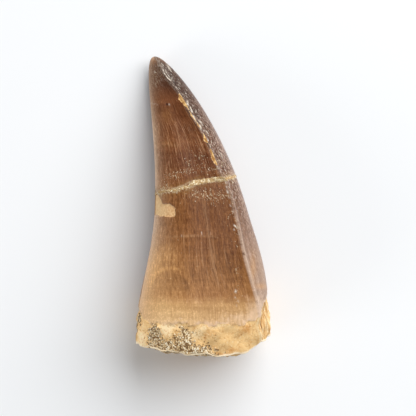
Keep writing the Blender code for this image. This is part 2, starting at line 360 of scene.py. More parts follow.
# The tooth lies along Y, its tip at the far end. Its sections are ovals, cut back on top by a flatter front
# face that ends in a sharp ridge, the front carina. A turn is measured round the section from that ridge,
# over the front face first. Places of marks are in mm across from the middle and up from the broken end, as
# seen from above. A noise is given by its size, its seed and its number of layers.
tooth = {
    "length": 50 * mm,
    "halfWidth": 11 * mm,
    "taper": 0.533,
    "flare": 0.75 * mm,
    "flareFrom": 26 * mm,
    "flareTo": 44 * mm,
    "straightFrom": 45.5 * mm,
    "rootCentre": 0.2 * mm,
    "wander": (1.7 * mm, 11, 4),
    "fine": (0.5 * mm, 15, 2),
    "tipLean": 8.27 * mm,
    "leanLength": 34 * mm,
    "leanPower": 1.98,
    "tipRoundness": 0.9,
    "rootRoundness": 0.73,
    "ovalPower": 2.2,
    "backArch": 1.1 * mm,
    "restAtTip": 0.35 * mm,
    "restAtRoot": 0.8 * mm,
    "tipRise": 2.4 * mm,
    "tipRiseLength": 5 * mm,
    "faceCut": 0.19,
    "faceSpan": 108 * degree,
    "sideCut": 0.03,
    "sideSpan": 46 * degree,
    # the front carina: its turn at the mend, then turns with their start from the tip and their length
    "carinaAtMend": 46 * degree,
    "carinaToRoot": (-10 * degree, 32 * mm, 12 * mm),
    "carinaToTip": (12 * degree, 19 * mm, -19 * mm),
    "carinaAtTip": (24 * degree, 10 * mm, -9 * mm),
    "carinaBend": (6 * degree, 9.6 * mm, 1.9 * mm),
    "mendTwist": 8 * degree,
    "ridgeHeight": 0.3 * mm,
    "ridgeWidth": 0.5 * mm,
    "ridgeFade": 5 * mm,
    "backRidge": 150 * degree,
    "backRidgeShare": 0.8,
    "nicks": (0.9 * mm, 61, 3),
    "nickDepth": 0.07 * mm,
    "nickWidth": 0.3 * mm,
    "nickFade": 3 * mm,
    "swell": 0.5 * mm,
    "swellTurn": -50 * degree,
    "swellPower": 6,
    "swellFromTip": 36 * mm,
    "swellLength": 6.5 * mm,
    # the mended break: where it lies, its slope, its step out of line and its climb, with their turns
    "mendY": 27.85 * mm,
    "mendSlope": (0.85 * mm, -20 * degree),
    "mendStep": (0.42 * mm, 54 * degree, 5.0),
    "mendClimb": (0.8 * mm, -60 * degree, 6),
    "joint": 0.4 * mm,
    "groove": 0.3 * mm,
    # the enamel's edge, which climbs on both sides: height, turn and sharpness of each climb
    "enamelEdge": 5.1 * mm,
    "enamelClimbs": ((6.8 * mm, -60 * degree, 7), (2.8 * mm, 165 * degree, 6)),
    "enamelStep": 0.16 * mm,
    "enamelStepLength": 0.3 * mm,
    "enamelRagged": (0.8, 0.4),  # by the wander and the fine noise
    "enamelSoftness": 0.5,
    "bareSpots": ((-11.2, 6.2, 0.8, 1.2, 2.2), (10.0, 8.4, 1.0, 1.3, 1.1)),
    # the broken end: waves are given by their rates across and in depth, their start and their share
    "cornerX": 6.2 * mm,
    "cornerSlope": 0.6,
    "breakRise": 1.25 * mm,
    "breakRiseX": 2 * mm,
    "breakRisePower": 1.6,
    "breakRoughness": 0.12 * mm,
    "breakWaves": ((1300, 500, 0, 1), (-900, 1800, 1, 1), (2900, 1700, 0, 0.6)),
    "pores": (1.6 * mm, 51, 4),
    "finePores": (0.6 * mm, 53, 3),
    "poreDepth": 0.35 * mm,
    "endBlend": 10,
    "endFibres": (0.93, 0.06),
    "endStain": (1.4, 0.7),
    # root bone: lumps by their rates round and along the tooth, grain, and fissures on the narrow side
    "lumps": 0.1 * mm,
    "lumpWaves": ((5, 900), (9, -1500), (17, 2300)),
    "grain": (1.2 * mm, 21, 4),
    "grainHeight": 0.1 * mm,
    "fissures": (1, 31, 2),
    "fissureSize": (0.6 * mm, 5.5 * mm),
    "fissureDepth": 0.16 * mm,
    "sideBoneEdge": 0.6 * mm,
    # enamel: long shallow flutes and fine striae, with height, rates and noise, and a growth ring
    "flutes": (0.045 * mm, (0.35, 0.35, 0.03), (1, 41, 2)),
    "striae": (0.012 * mm, (2.2, 2.2, 0.12), (1, 45, 2)),
    # how far in from the left edge the painted light on the left flank reaches
    "paintedLitFlankWidths": ((8, 2.6), (16, 1.7), (25, 0.85), (32, 0.6)),  # the lit left flank's, at each height
    "growthRadius": 8,
    "growthRing": (19.95, 0.18, 0.15),  # height up, half width, how far it wanders
    "growthRingHeight": 0.02 * mm,
    # lost enamel: how wide the chips beside the carina are at each height, and where the other marks are
    "chipWidths": (
        (31.6, -0.1), (32.0, 0.2), (33.0, 0.26), (34.0, 0.24), (34.5, 0.1), (34.7, -0.2), (35.2, -0.2),
        (35.5, 0.12), (35.9, 0.28), (36.3, 0.2), (36.8, 0.05), (37.3, 0.02), (38.0, 0.02), (38.3, 0.11),
        (38.7, 0.04), (39.0, 0.02), (39.3, 0.04), (39.6, 0.12), (40.0, 0.14), (40.4, 0.05), (40.9, 0.03),
        (41.4, 0.07), (41.8, 0.24), (42.3, 0.48), (42.8, 0.46), (43.3, 0.24), (43.7, 0.08), (43.9, -0.1),
    ),
    "chipSoftness": 0.12,
    "chipRagged": (0.42 * mm, 25, 2),
    "chipDepth": 0.25 * mm,
    "patch": (-6.95, 24.3, 2.2, 1.0),
    "patchSlope": 0.1,
    "patchSquareness": 6,
    "patchRagged": (0.22, 0.14),
    "patchStrip": (-8.15, 27.8, 0.55),
    "stripRagged": (0.25, 0.2),
    "patchSoftness": 0.16,
    "patchDepth": 0.2 * mm,
    "pit": (-6.1, 41.9, 0.24, 0.24),
    "pitDepth": 0.14 * mm,
    "wornTip": (-5.75, 47.3, 0.62, 1.75),
    "wornTipLean": 0.25,
    "wornTipDepth": 0.16 * mm,
    # the mesh
    "sideFrom": 300 * degree,
    "frontColumns": 190,
    "backColumns": 74,
    "sideColumns": 60,
    "endRings": 24,
    "rootRows": 44,
    "crownRows": 120,
    "mendRows": 14,
    "mendRowsReach": 0.7 * mm,
    "tipRows": 105,
    "tipSpacing": 1.5,
    # an arch-shaped darker area low on the front face: its foot, half its width and its height
    "arch": (-5.4, 10.3, 3.5, 3.9),
    "archFade": (-1.2, 2.8),  # from its foot, over what height
    "archBorder": (0.45, -0.1, 0.09),  # strength, place and width, as shares of its size
    "archInside": (0.4, -0.03, 0.16),
    # how strongly each kind of mark shows: place, radii across and up, strength
    "spots": {
        "tone": (  # lighter and darker areas of the crown
            (-6.6, 16.8, 3.0, 2.2, 0.45), (-8.6, 13.4, 1.2, 4.0, 0.6), (-8.9, 14.6, 1.3, 0.8, 1.2),
            (-2.0, 13.2, 1.6, 3.5, -0.4), (5.6, 10.6, 1.4, 1.6, 0.4), (-6.4, 39.9, 1.6, 1.8, 0.25),
            (-6.0, 35.2, 3.5, 0.7, 0.3), (-1.8, 38.2, 1.6, 2.2, -0.4), (-4.5, 33.0, 3.5, 2.0, -0.3),
            (3.8, 15.5, 3.2, 4.5, -0.4), (3.0, 24.0, 3.4, 2.5, -0.3), (-5.0, 21.3, 4.0, 1.2, -0.25),
            (-4.0, 27.8, 3.4, 0.9, 0.3), (-7.2, 44.5, 1.4, 2.2, -0.2),
        ),
        "dusty": (  # where pale dust clings to the crown
            (-5.2, 30.1, 1.5, 1.0, 1.0), (-2.4, 31.2, 1.4, 1.3, 0.8), (0.8, 30.8, 1.4, 1.2, 0.5),
            (3.2, 31.8, 1.0, 1.2, 0.7), (-0.6, 33.4, 1.3, 1.3, 0.7), (1.8, 32.8, 0.9, 1.6, 0.7),
            (-7.2, 26.9, 0.8, 0.8, 1.0), (-1.2, 26.9, 1.8, 1.1, 1.0), (1.4, 26.2, 1.2, 1.3, 0.6),
            (3.2, 26.8, 2.2, 1.4, 0.85), (4.6, 23.6, 1.3, 2.6, 0.4), (5.2, 19.0, 1.3, 4.0, 0.4),
            (6.0, 13.0, 1.2, 3.5, 0.35), (-6.2, 28.0, 1.4, 0.6, 1.3), (-7.9, 46.8, 1.4, 3.0, 0.65),
        ),
        "stain": (  # ochre and brown stains on the root
            (2.0, 2.6, 2.2, 1.5, 0.3), (7.2, 4.6, 0.9, 1.2, 0.8), (4.7, 0.9, 0.9, 0.5, 1.0),
            (3.2, 0.2, 1.6, 0.35, 0.9), (5.8, 2.0, 1.2, 1.2, 0.5), (0.3, 2.9, 0.3, 0.9, 0.7),
        ),
        "sandy": (  # dark sand stuck to the root
            (-8.2, 4.6, 1.3, 1.2, 1.0), (-3.0, 5.2, 1.6, 0.8, 0.8), (0.4, 2.6, 2.2, 1.6, 0.8),
            (-9.6, 1.5, 1.0, 2.0, 0.7), (-11.0, 6.2, 0.7, 1.2, 1.0),
        ),
        "flake": (  # pale flakes along the enamel's edge
            (6.0, 6.3, 3.0, 0.9, 0.6), (8.6, 8.6, 1.4, 2.6, 1.0), (7.9, 10.6, 1.1, 2.0, 0.8),
            (-5.8, 5.4, 2.2, 0.4, 0.5), (0.0, 5.5, 2.5, 0.4, 0.5),
        ),
        "pale": (  # cream areas of the root
            (-6.0, 4.1, 1.2, 1.4, 0.75), (-1.3, 3.7, 1.1, 1.1, 0.9), (-10.2, 2.6, 0.9, 2.6, 1.0),
            (-5.5, 4.9, 2.2, 0.5, 0.7), (0.6, 4.6, 1.4, 0.6, 0.7), (3.6, 5.0, 2.4, 0.5, 0.5),
        ),
        "blotch": ((10.6, 9.8, 0.65, 1.4, 0.75),),  # grey on the narrow side
        "golden": ((9.7, 11.6, 1.0, 0.5, 0.35), (8.3, 14.5, 0.5, 2.5, 0.3)),
    },
    "spotLimits": {"dusty": 1.2, "sandy": 1},
    # thin marks: where they start and end, half width, strength
    "lines": {
        "streak": (  # pale lines of growth
            (0.0, 26.0, 2.2, 12.1, 0.26, 0.5), (-6.4, 19.8, -1.0, 20.0, 0.2, 0.6),
            (-1.0, 20.0, 2.4, 19.8, 0.16, 0.35), (-4.8, 39.5, -3.8, 35.2, 0.08, 0.5),
            (-5.9, 36.5, -5.6, 32.0, 0.08, 0.4), (-4.2, 37.0, -3.4, 32.0, 0.07, 0.4),
            (-6.6, 36.2, -6.3, 31.5, 0.08, 0.4), (-2.6, 35.6, -1.9, 32.0, 0.07, 0.4),
            (-7.4, 35.3, -3.6, 35.0, 0.22, 0.35), (-3.4, 21.0, -2.9, 14.5, 0.12, 0.4),
            (-5.6, 18.8, -5.7, 13.2, 0.14, 0.4), (1.4, 21.5, 2.6, 11.0, 0.10, 0.35),
        ),
        "glint": (  # small bright marks: scuffs on the ridge and the tip, and flecks, each partly pale wear and partly a painted highlight
            (-8.7, 42.1, -7.6, 41.9, 0.08, 0.35), (-5.72, 41.85, -5.6, 41.85, 0.12, 1.0),
            (-3.6, 20.2, -3.6, 19.8, 0.06, 0.35), (-0.3, 20.7, -0.25, 20.2, 0.06, 0.7),
            (3.7, 29.2, 3.8, 28.6, 0.12, 0.6), (3.85, 28.3, 3.95, 27.9, 0.10, 0.7),
            (4.0, 27.6, 4.1, 27.1, 0.12, 0.9), (4.2, 26.6, 4.3, 26.2, 0.10, 0.4),
            (4.5, 25.2, 4.6, 24.9, 0.10, 0.5), (4.9, 24.2, 5.0, 23.9, 0.12, 0.9),
            (5.15, 21.8, 5.45, 21.5, 0.12, 1.0), (5.6, 21.4, 5.75, 21.2, 0.11, 0.9),
            (5.1, 21.1, 5.2, 20.9, 0.10, 0.8), (5.85, 20.9, 6.0, 20.2, 0.07, 0.4),
            (5.4, 10.9, 5.4, 10.6, 0.18, 1.0), (5.3, 9.9, 5.35, 9.6, 0.10, 0.5),
            (5.8, 9.3, 5.9, 8.9, 0.09, 0.5), (5.5, 8.6, 5.6, 8.2, 0.08, 0.4),
            (-2.7, 42.5, -2.5, 41.6, 0.13, 0.9), (-2.2, 41.4, -1.8, 40.6, 0.11, 0.8),
            (-1.7, 40.1, -1.3, 39.2, 0.12, 0.9), (-0.8, 39.3, -0.1, 38.7, 0.10, 0.6),
            (-0.6, 38.5, -0.3, 37.8, 0.11, 0.8), (0.3, 37.6, 0.9, 36.9, 0.10, 0.5),
            (2.9, 33.9, 3.2, 32.9, 0.10, 0.6), (-7.4, 49.2, -7.3, 49.1, 0.1, 0.6),
            (-8.1, 47.4, -8.1, 47.2, 0.09, 0.7), (-7.0, 48.8, -6.6, 48.2, 0.06, 0.6),
            (-6.75, 47.8, -6.5, 47.1, 0.06, 0.9), (-6.5, 47.1, -5.9, 46.25, 0.07, 1.0),
            (-5.9, 46.25, -5.35, 45.9, 0.07, 1.0), (-5.35, 45.9, -5.15, 46.45, 0.06, 1.0),
            (-6.35, 47.75, -5.95, 46.95, 0.05, 0.9), (-5.95, 46.95, -5.5, 46.4, 0.05, 0.9),
            (-5.9, 48.35, -5.6, 47.7, 0.05, 0.7), (-6.25, 48.9, -5.7, 48.2, 0.06, 0.5),
            (-5.7, 48.2, -5.25, 47.3, 0.06, 0.6), (-5.7, 48.6, -5.05, 47.9, 0.07, 0.6),
            (-5.05, 47.9, -4.55, 47.2, 0.07, 0.5), (-7.8, 48.2, -7.3, 48.45, 0.05, 0.35),
            (-7.3, 48.45, -6.8, 48.15, 0.05, 0.35), (-6.8, 48.15, -6.5, 47.6, 0.05, 0.35),
            (-7.9, 45.0, -7.8, 44.9, 0.07, 0.4),
        ),
    },
}


def halfWidth(fromTip):  # grows by a power from the tip, with a flare towards the root
    fromTip = np.minimum(fromTip, tooth["straightFrom"])
    flare = tooth["flare"] * ramp((fromTip - tooth["flareFrom"]) / (tooth["flareTo"] - tooth["flareFrom"]))
    return tooth["halfWidth"] * (fromTip / tooth["length"]) ** tooth["taper"] + flare


def centreX(fromTip):  # leans over by a power towards the tip
    lean = np.clip(1 - fromTip / tooth["leanLength"], 0, 1) ** tooth["leanPower"]
    return tooth["rootCentre"] - tooth["tipLean"] * lean


def backHeight(fromTip):  # the lowest point of a section: an arch between the rests, and a rise at the tip
    along = (fromTip - tooth["tipRiseLength"]) / (tooth["length"] - tooth["tipRiseLength"])
    rise = np.clip(1 - fromTip / tooth["tipRiseLength"], 0, 1) ** 2
    rest = tooth["restAtTip"] + (tooth["restAtRoot"] - tooth["restAtTip"]) * fromTip / tooth["length"]
    return tooth["backArch"] * np.sin(math.pi * np.clip(along, 0, 1)) + tooth["tipRise"] * rise - rest


def mendLine(turn):  # the break's distance along Y: a slope, a step and a climb round the tooth
    slope, slopeTurn = tooth["mendSlope"]
    step, stepTurn, sharpness = tooth["mendStep"]
    climb, climbTurn, power = tooth["mendClimb"]
    out = step * np.tanh(sharpness * np.sin(turn - stepTurn))
    return tooth["mendY"] + slope * np.cos(turn - slopeTurn) - out + climb * lobe(turn - climbTurn, power)


def enamelLine(turn):  # the enamel's edge, as a distance along Y
    climbs = sum(height * lobe(turn - middle, power) for height, middle, power in tooth["enamelClimbs"])
    return tooth["enamelEdge"] + climbs


def breakLine(x, z):  # the broken end, as a distance along Y for each place across the root
    corner = tooth["cornerSlope"] * np.clip(x - tooth["cornerX"], 0, None)
    left = np.clip(tooth["breakRiseX"] - x, 0, None) / tooth["halfWidth"]
    waves = tooth["breakWaves"]
    rough = sum(share * np.sin(across * x + deep * z + start) for across, deep, start, share in waves)
    rise = tooth["breakRise"] * left ** tooth["breakRisePower"]
    return rise + corner + tooth["breakRoughness"] * (1 + rough)


def breakY(turn):  # the broken end's distance along Y, round its rim
    guess = plainPoints(turn, np.full(turn.shape, 3 * mm))
    return breakLine(guess[..., 0], guess[..., 2])


# The front carina's angle. Below the mend an S curve turns it back towards the root. Above the mend all is
# twisted out of line, and a steady turn, an S curve by the tip and a bend are added.
def carinaAngle(fromTip, aboveMend):
    parts = ("carinaToRoot", "carinaToTip", "carinaAtTip", "carinaBend")
    toRoot, toTip, atTip, bend = [(fromTip - tooth[part][1]) / tooth[part][2] for part in parts]
    below = tooth["carinaToRoot"][0] * ramp(toRoot)
    above = tooth["carinaToTip"][0] * toTip + tooth["carinaAtTip"][0] * ramp(atTip)
    above = tooth["mendTwist"] + above + tooth["carinaBend"][0] * np.exp(-(bend**2))
    joined = ramp(0.5 + aboveMend / (2 * tooth["joint"]))
    return tooth["carinaAtMend"] + below * (1 - joined) + above * joined


# One section's outline: an oval whose radius the front face and the narrow side cut back. It gives the way
# from the section's middle to each point, across and up.
def sectionAt(turn, y):
    fromTip = tooth["length"] - y
    aboveMend = y - mendLine(turn)
    angle = carinaAngle(fromTip, aboveMend) + turn
    width = halfWidth(fromTip)
    toRoot = np.sqrt(fromTip / tooth["length"])
    height = width * (tooth["tipRoundness"] + (tooth["rootRoundness"] - tooth["tipRoundness"]) * toRoot)
    cosine, sine, power = np.cos(angle), np.sin(angle), tooth["ovalPower"]
    oval = (np.abs(cosine) ** power + np.abs(sine) ** power) ** (-1 / power)
    cut = tooth["faceCut"] * hump(turn / tooth["faceSpan"])
    cut = cut + tooth["sideCut"] * hump(-turn / tooth["sideSpan"])
    across, up = width * oval * (1 - cut) * cosine, height * oval * (1 - cut) * sine
    return {
        "fromTip": fromTip,
        "aboveMend": aboveMend,
        "across": across,
        "up": up,
        "radius": np.hypot(across, up),
        "x": centreX(fromTip),
        "z": backHeight(fromTip) + height,
    }


# A point lies on its section's outline, moved out from the middle by its relief
def placePoints(section, y, relief):
    grow = 1 + relief / section["radius"]
    x = section["x"] + section["across"] * grow
    return np.stack((x, y - tooth["length"] / 2, section["z"] + section["up"] * grow), axis=-1)


# The relief that the solid has too: the carinae, a swelling of the narrow side, and the root's step and lumps
def mainRelief(turn, y, section, rootShare):
    arc = np.abs(turn * section["radius"])
    backArc = np.abs((turn - tooth["backRidge"]) * section["radius"])
    width = tooth["ridgeWidth"]
    carinae = np.exp(-arc / width) + tooth["backRidgeShare"] * np.exp(-backArc / width)
    relief = ramp(section["fromTip"] / tooth["ridgeFade"]) * tooth["ridgeHeight"] * carinae
    swell = tooth["swell"] * lobe(turn - tooth["swellTurn"], tooth["swellPower"])
    swell = swell * np.exp(-(((section["fromTip"] - tooth["swellFromTip"]) / tooth["swellLength"]) ** 2))
    lumps = sum(np.sin(around * turn + along * y) for around, along in tooth["lumpWaves"])
    return relief + swell + rootShare * (tooth["lumps"] * lumps - tooth["enamelStep"])


def plainPoints(turn, y, lift=0):
    section = sectionAt(turn, y)
    rootShare = ramp((enamelLine(turn) - y) / tooth["enamelStepLength"] + 0.5)
    return placePoints(section, y, mainRelief(turn, y, section, rootShare) + lift)


# The formulas put the root's middle near X 0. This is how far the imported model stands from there.
def frameShift():
    turn = np.linspace(-math.pi, math.pi, 2000)
    line = mendLine(turn)
    band = np.concatenate([plainPoints(turn, line + side * tooth["joint"]) for side in (-1, 1)])
    low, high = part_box("filler")
    middle = (band.min(axis=0) + band.max(axis=0)) / 2
    return np.array([(low.x + high.x) / 2 - middle[0], (low.y + high.y) / 2 - middle[1], 0])


shift = frameShift()
print("shift from the formulas' own middle, mm:", np.round(shift / mm, 3))


# Where a point shows from above, in mm across from the middle and up from the broken end
def fromAbove(points):
    spread = (camera["height"] - camera["viewLevel"]) / (camera["height"] - points[..., 2])
    x = (points[..., 0] + shift[0] - camera["x"]) * spread + camera["x"]
    y = (points[..., 1] + shift[1] - camera["y"]) * spread + camera["y"] - cadBox[0].y
    return x / mm, y / mm


def ragged(label, wander, fine):  # how far two noises move an edge
    wanderShare, fineShare = tooth[label]
    return wanderShare * wander + fineShare * fine


# Lost enamel beside the mend, as mm inside its edge: a squarish patch that slopes, and a strip that runs up
# from its left end to a point
def patchAt(x, up, top, wander, fine):
    middleX, middleUp, halfAcross, halfUp = tooth["patch"]
    beside = np.abs(x - middleX) / halfAcross
    level = np.abs(up - middleUp + tooth["patchSlope"] * (x - middleX)) / halfUp
    power = tooth["patchSquareness"]
    patch = (1 - (beside**power + level**power) ** (1 / power)) * halfUp + ragged("patchRagged", wander, fine)
    stripX, stripTop, slope = tooth["patchStrip"]
    strip = np.minimum((stripTop - up) * slope - (x - stripX), up - middleUp)
    strip = strip + ragged("stripRagged", wander, fine)
    return np.clip(np.where(top > 0.5, np.maximum(patch, strip), -1), -1, 1)


# The arch: dark inside, with a paler border above it, and fading out downwards
def archAt(x, up):
    middle, foot, halfAcross, tall = tooth["arch"]
    within = 1 - np.hypot((x - middle) / halfAcross, np.maximum(up - foot, 0) / tall)
    fadeFrom, fadeLength = tooth["archFade"]
    pale, border, borderWidth = tooth["archBorder"]
    dark, edge, edgeWidth = tooth["archInside"]
    tone = pale * np.exp(-(((within - border) / borderWidth) ** 2)) - dark * ramp((within - edge) / edgeWidth)
    return ramp((up - foot - fadeFrom) / fadeLength) * tone


# The whole surface: its points, and what the material needs to know of them. Attributes that are lengths are
# in mm, and the others are shares.
def toothSurface(turn, y):
    section = sectionAt(turn, y)
    plain = plainPoints(turn, y)
    x, up = fromAbove(plain)
    top = ramp((section["up"] / section["radius"] + 0.15) / 0.3)  # 1 on the upper half
    near = ramp((115 * degree - np.abs(turn)) / (30 * degree))  # 1 on the front face and the narrow side
    arc = turn * section["radius"]
    right = section["across"] / section["radius"]
    fromLeft = (section["across"] + halfWidth(section["fromTip"])) / mm
    wander, fine = layeredNoise(plain, *tooth["wander"]), layeredNoise(plain, *tooth["fine"])
    growth = tooth["growthRadius"]
    growth = np.stack((growth * np.cos(turn), growth * np.sin(turn), y / mm), axis=-1)
    # the enamel ends raggedly, and two spots above its edge are bare
    rootGap = (y - enamelLine(turn)) / mm + ragged("enamelRagged", wander, fine)
    rootGap = rootGap - spotSum(tooth["bareSpots"], x, up) * top
    rootShare = ramp(0.5 - rootGap / tooth["enamelSoftness"])
    relief = mainRelief(turn, y, section, rootShare)
    # the ridge is worn and nicked
    nicks = layeredNoise(np.stack((y, 0 * y, 0 * y), axis=-1), *tooth["nicks"])
    nicks = nicks * np.exp(-np.abs(arc) / tooth["nickWidth"]) * ramp(section["fromTip"] / tooth["nickFade"])
    relief = relief + tooth["nickDepth"] * nicks
    # root bone: coarse grain, and long fissures on the narrow side
    relief = relief + tooth["grainHeight"] * rootShare * layeredNoise(plain, *tooth["grain"])
    fissureWidth, fissureLength = tooth["fissureSize"]
    along = np.stack((arc / fissureWidth, y / fissureLength, 0 * y), axis=-1)
    cracks = ramp(1.1 - np.abs(layeredNoise(along, *tooth["fissures"])) / 0.14)
    sideBone = rootShare * ramp(1 - arc / tooth["sideBoneEdge"]) * near
    relief = relief - tooth["fissureDepth"] * sideBone * cracks
    # enamel
    crown = 1 - rootShare
    for height, rates, noise in (tooth["flutes"], tooth["striae"]):
        relief = relief + height * crown * layeredNoise(growth * np.array(rates), *noise)
    ringUp, ringWidth, ringWander = tooth["growthRing"]
    ring = np.exp(-(((up - ringUp - ringWander * wander) / ringWidth) ** 2))
    relief = relief + tooth["growthRingHeight"] * crown * ring
    # lost enamel: chips along the front carina, a patch beside the mend, a pit, and worn ripples by the tip
    chipWidth = np.interp(up, *np.array(tooth["chipWidths"]).T) * top * near
    chipWidth = chipWidth * np.clip(1 + 0.8 * layeredNoise(plain, *tooth["chipRagged"]), 0.3, 1.6)
    soft = tooth["chipSoftness"]
    chip = ramp((chipWidth - arc / mm) / soft + 0.5) * ramp(arc / mm / soft + 1) * ramp(2 * chipWidth / soft)
    patchGap = patchAt(x, up, top, wander, fine)
    pit = spot(x, up, tooth["pit"]) * top
    wornX, wornUp, wornAcross, wornTall = tooth["wornTip"]
    acrossWorn = x - wornX + tooth["wornTipLean"] * (up - wornUp)
    worn = ramp(1.6 - 1.6 * np.hypot(acrossWorn / wornAcross, (up - wornUp) / wornTall)) * top
    ripple = 0.5 + 0.5 * np.sin(9 * (acrossWorn + 0.25 * (up - wornUp)) + 3 * wander)
    relief = relief - tooth["chipDepth"] * chip * (0.7 + 0.6 * fine)
    relief = relief - tooth["patchDepth"] * ramp(patchGap / tooth["patchSoftness"] + 0.5)
    relief = relief - tooth["pitDepth"] * pit
    relief = relief - tooth["wornTipDepth"] * worn * (0.6 + 0.4 * ripple)
    # the joint, which the filler fills
    relief = relief - tooth["groove"] * ramp(1.2 - 1.6 * np.abs(section["aboveMend"]) / fillerWidth(turn))

    attributes = {
        "growth": growth,
        "rootGap": np.clip(rootGap, -9, 9),
        "sideAcross": np.clip(-turn / carinaAngle(section["fromTip"], section["aboveMend"]), 0, 2) * near,
        "faceArc": np.clip(arc / mm, -3, 3) * near,
        "near": near,
        # painted light: how strongly the left flank is painted paler, fading inwards from the left edge
        "flank": np.exp(-fromLeft / np.interp(up, *np.array(tooth["paintedLitFlankWidths"]).T)) * top,
        "leftward": np.clip(-right, 0, 1) * top,
        "rightward": np.clip(right, 0, 1) * top,
        "chip": chip,
        "patchGap": patchGap,
        "pit": pit,
        "cracks": cracks * sideBone,
        "sideBone": sideBone,
        "mendGap": section["aboveMend"] / mm,
        "endGap": np.clip((y - breakLine(plain[..., 0], plain[..., 2])) / mm, 0, 9),
    }
    for label, spots in tooth["spots"].items():
        attributes[label] = top * np.minimum(tooth["spotLimits"].get(label, 9), spotSum(spots, x, up))
    for label, lines in tooth["lines"].items():
        attributes[label] = top * lineSum(lines, x, up)
    attributes["tone"] = attributes["tone"] + top * archAt(x, up)
    return placePoints(section, y, relief), attributes


# The broken end: points on straight lines from its middle to its rim, at a height that the break and its
# pores give
def endSurface(turn, share):
    rim, attributes = toothSurface(turn, breakY(turn))
    turns = toothTurns()
    whole, ignored = toothSurface(turns, breakY(turns))
    middle = whole.mean(axis=0)
    points = middle + (rim - middle) * share[..., None]
    pores = layeredNoise(points, *tooth["pores"]) + 0.5 * layeredNoise(points, *tooth["finePores"])
    y = breakLine(points[..., 0], points[..., 2]) - tooth["length"] / 2 + tooth["poreDepth"] * pores
    blend = share ** tooth["endBlend"]  # meets the rim
    points[..., 1] = y * (1 - blend) + points[..., 1] * blend
    attributes["endGap"] = attributes["endGap"] + 8 * (1 - share)
    fibresFrom, fibresLength = tooth["endFibres"]
    for label in ("sideBone", "cracks"):  # the fibres of the side stop at the rim
        attributes[label] = attributes[label] * ramp((share - fibresFrom) / fibresLength)
    stain, power = tooth["endStain"]
    for label in ("stain", "sandy"):  # browner and more porous towards the middle
        attributes[label] = attributes[label] + stain * (1 - share) ** power
    return points, attributes


def toothTurns():  # closer together over the front face and the narrow side than over the back
    stops = (0, tooth["backRidge"], tooth["sideFrom"], 2 * math.pi)
    counts = (tooth["frontColumns"], tooth["backColumns"], tooth["sideColumns"])
    turn = [np.linspace(*part, endpoint=False) for part in zip(stops, stops[1:], counts)]
    turn = np.concatenate(turn)
    return (turn + math.pi) % (2 * math.pi) - math.pi


def toothRows(turn):  # distances along Y, from the broken end's rim to near the tip
    enamel, mendY, reach = enamelLine(turn), mendLine(turn), tooth["mendRowsReach"]
    stops = (
        ("rootRows", breakY(turn), enamel),
        ("crownRows", enamel, mendY - reach),
        ("mendRows", mendY - reach, mendY + reach),
    )
    rows = []
    for label, start, end in stops:
        rows += [start + (end - start) * np.linspace(0, 1, tooth[label], endpoint=False)[:, None]]
    toTip = 1 - (1 - np.linspace(0, 1, tooth["tipRows"], endpoint=False)[:, None]) ** tooth["tipSpacing"]
    rows += [mendY + reach + (tooth["length"] - mendY - reach) * toTip]
    return np.concatenate(rows)


def buildTooth():
    turn = toothTurns()
    y = toothRows(turn)
    points, attributes = toothSurface(np.broadcast_to(turn, y.shape), y)
    shares = np.linspace(0, 1, tooth["endRings"], endpoint=False)[1:]
    end, endAttributes = endSurface(*np.meshgrid(turn, shares))
    points = np.concatenate((end, points))
    attributes = {label: np.concatenate((endAttributes[label], attributes[label])) for label in attributes}
    points[..., 2] = np.maximum(points[..., 2], 0)
    tip = plainPoints(np.zeros(1), np.array([tooth["length"] - 1e-9]))[0]
    middle = end[0].mean(axis=0)
    return gridMesh("tooth_surface", points + shift, attributes, middle + shift, tip + shift)


